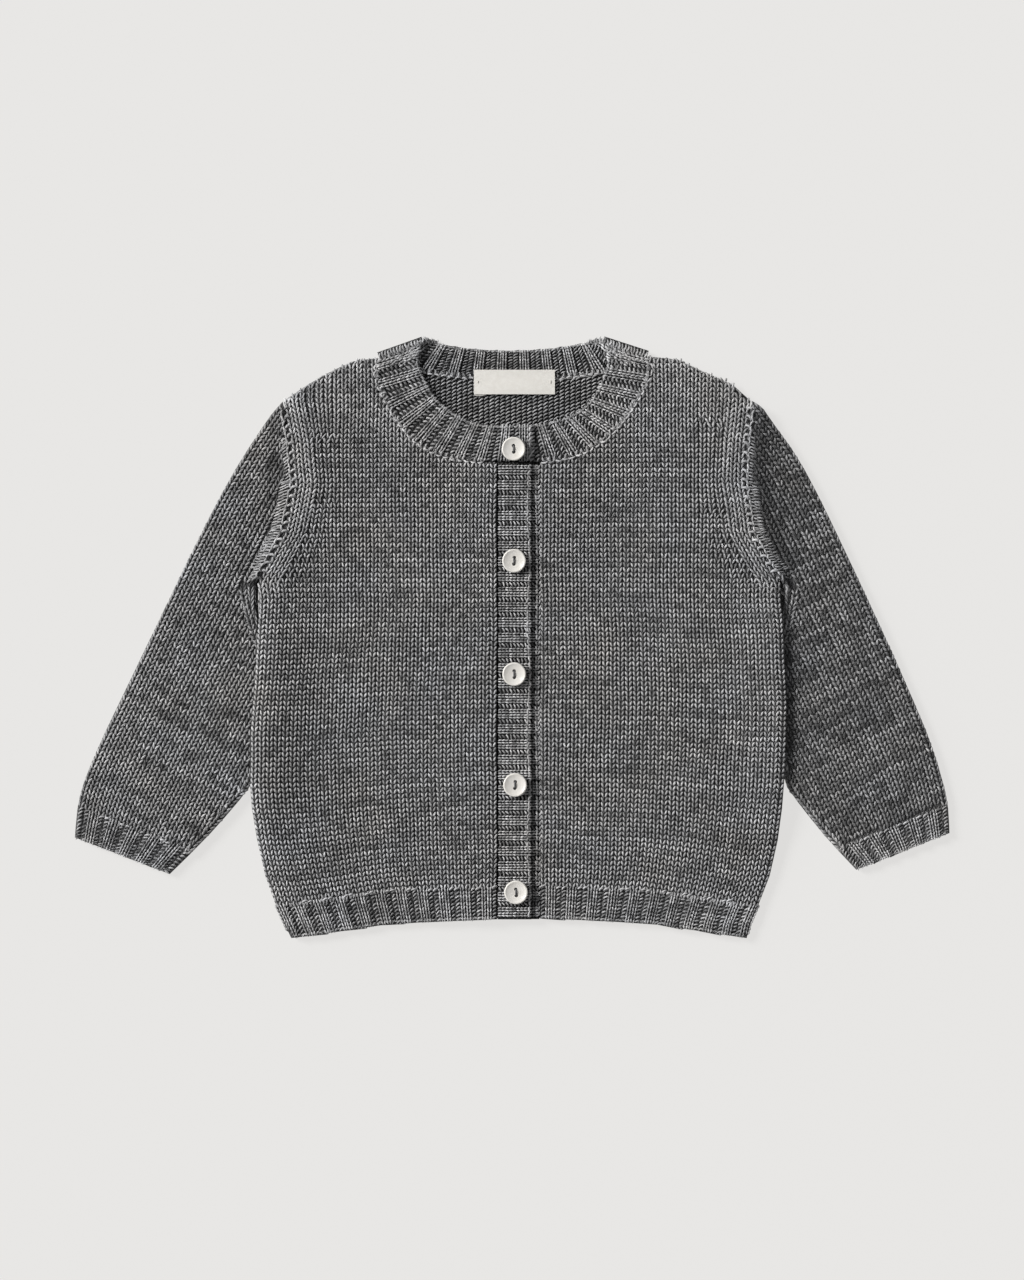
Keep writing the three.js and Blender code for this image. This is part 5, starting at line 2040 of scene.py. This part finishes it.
@dataclass
class Seams:
    """Sewing between the pieces: armhole knots and the picked-up neck edge."""

    wool: Wool
    bar_pitch: float = 4.5
    knot_pitch: float = 2.65
    knots_off: float = 2.0
    cap_rows: int = 3
    cap_first: float = 3.4
    cap_step: float = 2.3
    cap_pitch: float = 1.6
    cap_lean: float = 0.4

    def build(self) -> None:
        """Sew all seams."""
        for side in Side:
            self.armhole(side)
        front_right, front_left = Relief("front_right"), Relief("front_left")
        spots = np.linspace(0, 1, 120)
        for name, rows, first, last, relief, shift in (
                ("over", NECK_OVER, 2, 9, front_right, 1.0),
                ("under", NECK_UNDER, 0, 7, front_left, 1.0),
                ("inside", NECK_BACK, 0.4, 7.6, Relief("back"), -0.9)):
            line = read_rows(rows, first + spots * (last - first))[:, 2:]
            self.pick_up(name, line, relief, shift)

    def pick_up(self, name: str, line: Array, relief: Relief, shift: float) -> None:
        """Sew one stretch of the neck edge.

        Args:
            name: Name of the stretch.
            line: The seam.
            relief: Skin of the panel outside it.
            shift: Side and distance of the loops.
        """
        loops = loops_along(line, 3.5, shift, (0.72, 0.16), False, SEED + len(name), LOOP, 0.4)
        second = loops_along(line, 2.9, -shift * 0.55, (0.5, 0.16), True, SEED + 5, LOOP, 0.6)
        second.wide = second.wide * 0.8
        self.wool.trim(f"neck_seam_{name}", loops.join(second), relief, -0.2)
        spots, way = row_along(line, 3.0, math.copysign(0.21, shift))
        inner = spots + 2.2 * math.copysign(1, shift) * np.stack([-way[:, 1], way[:, 0]], axis=1)
        level = relief.surface(inner[:, 0], inner[:, 1], True)[0] - 1.3
        sweep_tube(f"neck_seam_{name}_core", np.column_stack([spots, level]), 0.8, 0.55,
                   self.wool.edge)

    def armhole(self, side: Side) -> None:
        """Sew one armhole and lay the smooth strip of its sleeve cap.

        Args:
            side: Wearer's side.
        """
        sign = side.inward
        y = np.linspace(28, 117, 60)
        line = np.column_stack([side.edge(y), y])
        sleeve, front = Relief(f"sleeve_{side.value}"), Relief(f"front_{side.value}")
        name = f"armhole_{side.value}"
        spots = row_along(line, 3.0, sign * 0.3)[0]
        level = np.minimum(front.surface(spots[:, 0] + sign * 1.6, spots[:, 1], True)[0],
                           sleeve.surface(spots[:, 0] - sign * 1.6, spots[:, 1], True)[0]) - 1.2
        sweep_tube(f"{name}_core", np.column_stack([spots, level]), 1.0, 0.6, self.wool.edge)
        bars = loops_along(line, self.bar_pitch, sign * 0.3, (0.6, 0.1), True, SEED + 41, LOOP,
                           0.35)
        bars.lean = bars.lean + sign * 0.5
        bars.wide, bars.tall = bars.wide * 1.1, bars.tall * 1.35
        self.wool.trim(f"{name}_bars", bars, front, 0.35, 0.3)
        knots = loops_along(line, self.knot_pitch, sign * self.knots_off, (0.55, 0.14), False,
                            SEED + 43, LOOP, 0.5)
        knots = knots.keep(sleeve.inside(knots.x, knots.y) > 1)
        self.wool.trim(f"{name}_knots", knots, sleeve, 0.0)
        rows = []
        for step in range(self.cap_rows):
            away = self.cap_first + self.cap_step * step
            row = loops_along(line, self.cap_pitch, sign * away, (0.5, 0.14), True,
                              SEED + 47 + step, STRAND, 0.14)
            row.lean = row.lean + math.pi / 2 + sign * self.cap_lean
            rows.append(row.keep((np.interp(row.y, CAP[:, 0], CAP[:, 1]) > away - 1.2)
                                 & (sleeve.inside(row.x, row.y) > 1.5)))
        self.wool.needle.lay(f"{name}_cap", STRAND, rows[0].join(*rows[1:]), sleeve, lift=-0.2)


@dataclass
class Buttons:
    """Two-hole dished pearl buttons and the loops of thread that hold them."""

    pearl: bpy.types.Material
    thread: bpy.types.Material
    radius: float = 5.95
    hole: float = 0.85
    spacing: float = 3.2
    sides: int = 64
    hole_sides: int = 24
    crease: float = 50.0
    tilt: float = 1.2
    turns: tuple[float, ...] = (3, -4, 2, -3, 5)
    ply: float = 0.24
    ply_sides: int = 8
    thread_top: float = 1.85
    thread_low: float = 6.0
    profile: tuple[tuple[float, float], ...] = (
        (0, 0), (2.2, 0), (4.4, 0.02), (5.1, 0.14), (5.6, 0.48), (5.88, 0.95), (5.95, 1.5),
        (5.9, 1.95), (5.76, 2.28), (5.55, 2.44), (5.3, 2.46), (5.05, 2.38), (4.7, 2.24),
        (4.2, 2.1), (3.4, 1.94), (2.4, 1.8), (1.2, 1.7), (0, 1.66))

    def body(self) -> bpy.types.Mesh:
        """Turn and drill one button.

        Returns:
            Its mesh, about its own middle.
        """
        mesh = lathe("button", self.profile, self.sides)
        disc = in_scene(mesh, "button_blank")
        cutters = []
        for sign in (-1, 1):
            drill = lathe("drill", ((0, -1), (self.hole, -1), (self.hole, 4), (0, 4)),
                          self.hole_sides)
            drill.transform(Matrix.Translation((0, sign * self.spacing / 2 * MM, 0)))
            cutter = in_scene(drill)
            cut = disc.modifiers.new("hole", "BOOLEAN")
            cut.object = cutter
            cut.solver = "EXACT"
            cutters.append(cutter)
        graph = bpy.context.evaluated_depsgraph_get()
        result = bpy.data.meshes.new_from_object(disc.evaluated_get(graph), depsgraph=graph)
        for piece in (disc, *cutters):
            bpy.data.objects.remove(piece)
        return result

    def build(self) -> None:
        """Build the five buttons and their threads."""
        blank = self.body()
        for n, (x, y) in enumerate(BUTTONS, start=1):
            tilt = Matrix.Rotation(math.radians(self.tilt), 4, "X" if n % 2 else "Y")
            turn = Matrix.Rotation(math.radians(self.turns[n - 1]), 4, "Z")
            place = Matrix.Translation((x * MM, y * MM, BUTTON_BASE * MM))
            self._button(n, blank, place @ tilt @ turn)
            self._thread(n, x, y)

    def _button(self, number: int, blank: bpy.types.Mesh, place: Matrix) -> None:
        """Place one button.

        Args:
            number: Its number from the collar down.
            blank: The mesh to copy.
            place: Where it goes.
        """
        mesh = blank.copy()
        ring = mesh.attributes.new("ring", "FLOAT", "POINT")
        distance = [math.hypot(v.co.x, v.co.y) / (self.radius * MM) for v in mesh.vertices]
        ring.data.foreach_set("value", distance)
        mesh.transform(place)
        mesh.materials.clear()
        mesh.materials.append(self.pearl)
        mesh.shade_smooth()
        mesh.set_sharp_from_angle(angle=math.radians(self.crease))
        declare(in_scene(mesh, f"button_{number}_pearl"), f"button_{number}")

    def _thread(self, number: int, x: float, y: float) -> None:
        """Sew one button on.

        Args:
            number: Its number.
            x: Its place across.
            y: Its place along.
        """
        points, faces = [], []
        for side, rise, inset in ((-0.26, 0.0, 0.0), (0.24, 0.0, 0.0), (0.0, 0.16, 0.1)):
            some, sheets = tube(self._ply((x + side, y), rise, self.spacing / 2 - inset),
                                self.ply, self.ply, self.ply_sides, (1.0, 0.0, 0.0))
            faces += [tuple(len(points) + n for n in sheet) for sheet in sheets]
            points += some.tolist()
        mesh = mesh_of(f"thread_{number}_plied", points, faces)
        mesh.materials.append(self.thread)
        mesh.shade_smooth()
        declare(in_scene(mesh), f"thread_{number}")

    def _ply(self, place: tuple[float, float], rise: float, half: float) -> Array:
        """Lead one ply up a hole, over the button and down the other hole.

        Args:
            place: Its middle over the table.
            rise: How far it lies over the other plies.
            half: Half the distance between its legs.

        Returns:
            The points of its middle line.
        """
        top = BUTTON_BASE + self.thread_top
        rising = [(-half, self.thread_low), (-half, top - 0.5), (-half * 0.82, top - 0.05),
                  (-half * 0.4, top + 0.12 + rise)]
        line = rising + [(-a, b) for a, b in reversed(rising)]
        return np.array([(place[0], place[1] + a, b + rise) for a, b in line])


@dataclass
class Label:
    """Bare woven tape sewn over the back neck seam at both short ends."""

    ribbon: bpy.types.Material
    thread: bpy.types.Material
    width: float = 40.5
    height: float = 12.3
    wall: float = 0.7
    under: float = 0.3
    x: float = 1.2
    y: float = 128.4
    base: float = 2.55
    across: int = 40
    up: int = 12
    crease: float = 40.0

    def level(self, u: Array, v: Array) -> Array:
        """Return the tape's gentle waves at shares across and up."""
        return (0.22 * np.sin(math.pi * u) + 0.10 * np.sin(5.1 * u + 3 * v)
                + 0.12 * np.sin(2 * math.pi * v) * np.sin(math.pi * u))

    def build(self) -> bpy.types.Object:
        """Build the label.

        Returns:
            The tape.
        """
        u, v = np.meshgrid(np.arange(self.across + 1) / self.across,
                           np.arange(self.up + 1) / self.up, indexing="ij")
        low = np.stack([self.x + (u - 0.5) * self.width, self.y + (v - 0.5) * self.height,
                        self.base + self.under + self.level(u, v)], axis=-1)
        points = np.stack([low, low + (0, 0, self.wall)])
        sheets = np.arange(u.size * 2).reshape(2, *u.shape)
        faces, rims = [], []
        for sheet in sheets:
            quads = np.stack([sheet[:-1, :-1], sheet[1:, :-1], sheet[1:, 1:], sheet[:-1, 1:]],
                             axis=-1)
            faces += quads.reshape(-1, 4).tolist()
            rims.append(np.concatenate([sheet[:-1, 0], sheet[-1, :-1], sheet[:0:-1, -1],
                                        sheet[0, :0:-1]]))
        lower, upper = rims
        faces += np.stack([lower, np.roll(lower, -1), np.roll(upper, -1), upper],
                          axis=-1).tolist()
        mesh = mesh_of("label_tape", points.reshape(-1, 3), faces)
        mesh.materials.append(self.ribbon)
        mesh.shade_smooth()
        mesh.set_sharp_from_angle(angle=math.radians(self.crease))
        piece = in_scene(mesh)
        declare(piece, "label")
        self.details()
        return piece

    def details(self) -> None:
        """Add the tack stitches at both ends and the tuck that peeps out below."""
        for name, x in (("left", self.x - 18.2), ("right", self.x + 18.2)):
            y = self.y + np.array([-0.9, -0.5, 0.0, 0.5, 0.9])
            top = self.base + self.wall + 0.42 + np.array([-0.25, 0.08, 0.12, 0.08, -0.25])
            sweep_tube(f"label_tack_{name}", np.column_stack([x + 0 * y, y, top]), 0.2, 0.16,
                       self.thread)
        x = self.x - self.width / 2 + np.array([0.5, 1.5, 3.0, 4.5, 5.6])
        low = self.y - self.height / 2 - 0.25 + np.array([0.3, 0.0, -0.05, 0.0, 0.3])
        sweep_tube("label_tuck", np.column_stack([x, low, 0 * x + self.base + 0.35]), 0.6, 0.22,
                   self.ribbon)


class Studio:
    """Pale floor, soft light and the camera over the table."""

    distance = 3.0
    aim = (0.0, -0.75)
    frame_height = 640.0
    cloth_level = 7.0
    sensor = 36.0
    half_floor = 3.0
    glow = 0.868

    def build(self) -> None:
        """Set the floor, the lights and the camera."""
        bpy.context.scene.view_settings.view_transform = "Standard"
        self.floor()
        self.light()
        self.camera()

    def floor(self) -> None:
        """Lay the plain pale floor."""
        mesh = bpy.data.meshes.new("floor")
        corners = ((-1, -1), (1, -1), (1, 1), (-1, 1))
        mesh.from_pydata([(x * self.half_floor, y * self.half_floor, 0) for x, y in corners],
                         [], [(0, 1, 2, 3)])
        material, wire, shader = new_material("floor")
        wire.feed(shader, "Base Color", (0.1, 0.099, 0.097, 1))
        wire.feed(shader, "Roughness", 0.9)
        wire.feed(shader, "Emission Color", (0.81, 0.80, 0.785, 1))
        wire.feed(shader, "Emission Strength", self.glow)
        mesh.materials.append(material)
        in_scene(mesh)

    def light(self) -> None:
        """Light the table softly from the left, with a low light along the cloth."""
        for name, energy, spread, toward in (("key", 3.3, 20, (0.82, -0.45, -0.66)),
                                             ("rim", 0.9, 30, (1.0, -0.25, -0.3))):
            light = bpy.data.lights.new(name, "SUN")
            light.energy = energy
            light.angle = math.radians(spread)
            lamp = bpy.data.objects.new(name, light)
            lamp.rotation_euler = Vector(toward).to_track_quat("-Z", "Y").to_euler()
            bpy.context.scene.collection.objects.link(lamp)
        world = bpy.data.worlds.new("studio")
        world.use_nodes = True
        sky = world.node_tree.nodes["Background"]
        sky.inputs["Color"].default_value = (0.97, 0.98, 1.0, 1)
        sky.inputs["Strength"].default_value = 0.2
        bpy.context.scene.world = world

    def camera(self) -> None:
        """Hang the camera straight over the table."""
        camera = bpy.data.cameras.new("camera")
        camera.sensor_width = self.sensor
        camera.lens = self.sensor * (self.distance / MM - self.cloth_level) / self.frame_height
        camera.clip_end = 20.0
        eye = bpy.data.objects.new("camera", camera)
        eye.location = (self.aim[0] * MM, self.aim[1] * MM, self.distance)
        bpy.context.scene.collection.objects.link(eye)
        bpy.context.scene.camera = eye


def main() -> None:
    """Build the cardigan piece by piece."""
    logging.basicConfig(level=logging.INFO, format="%(message)s")
    Studio().build()
    marl = MarlGroup()
    needle = Needle(StitchTree(), WoolFinish("wool").material(marl))
    wool = Wool(needle, GroundFinish("wool_ground").material(marl),
                GroundFinish("wool_edge", dark=0.05, light=0.55).material(marl))
    shaded = replace(wool, ground=GroundFinish("sleeve_ground", 0.06, 0.2).material(marl))
    for side in Side:
        FrontPanel(wool, side).build()
        Sleeve(wool if side is Side.RIGHT else shaded, side).build()
    # Painted shade: a near-black ground for the back's inside in the neck opening and for the
    # front bands
    inner = replace(wool, ground=GroundFinish("back_ground", 0.015, 0.07).material(marl))
    BackPanel(inner).build()
    # Painted shade: a darker ground for the neckband
    collar = replace(wool, ground=GroundFinish("collar_ground", 0.024, 0.11).material(marl))
    Neckband(collar).build()
    for over in (True, False):
        FrontBand(inner, over).build()
    Seams(wool).build()
    thread = ThreadFinish("grey_thread", grey(0.05), grey(0.22)).material()
    Buttons(PearlFinish().material(), thread).build()
    pale = ThreadFinish("cream_thread", (0.42, 0.4, 0.37, 1), (0.7, 0.67, 0.62, 1)).material()
    Label(RibbonFinish().material(), pale).build()


if __name__ == "__main__":
    main()
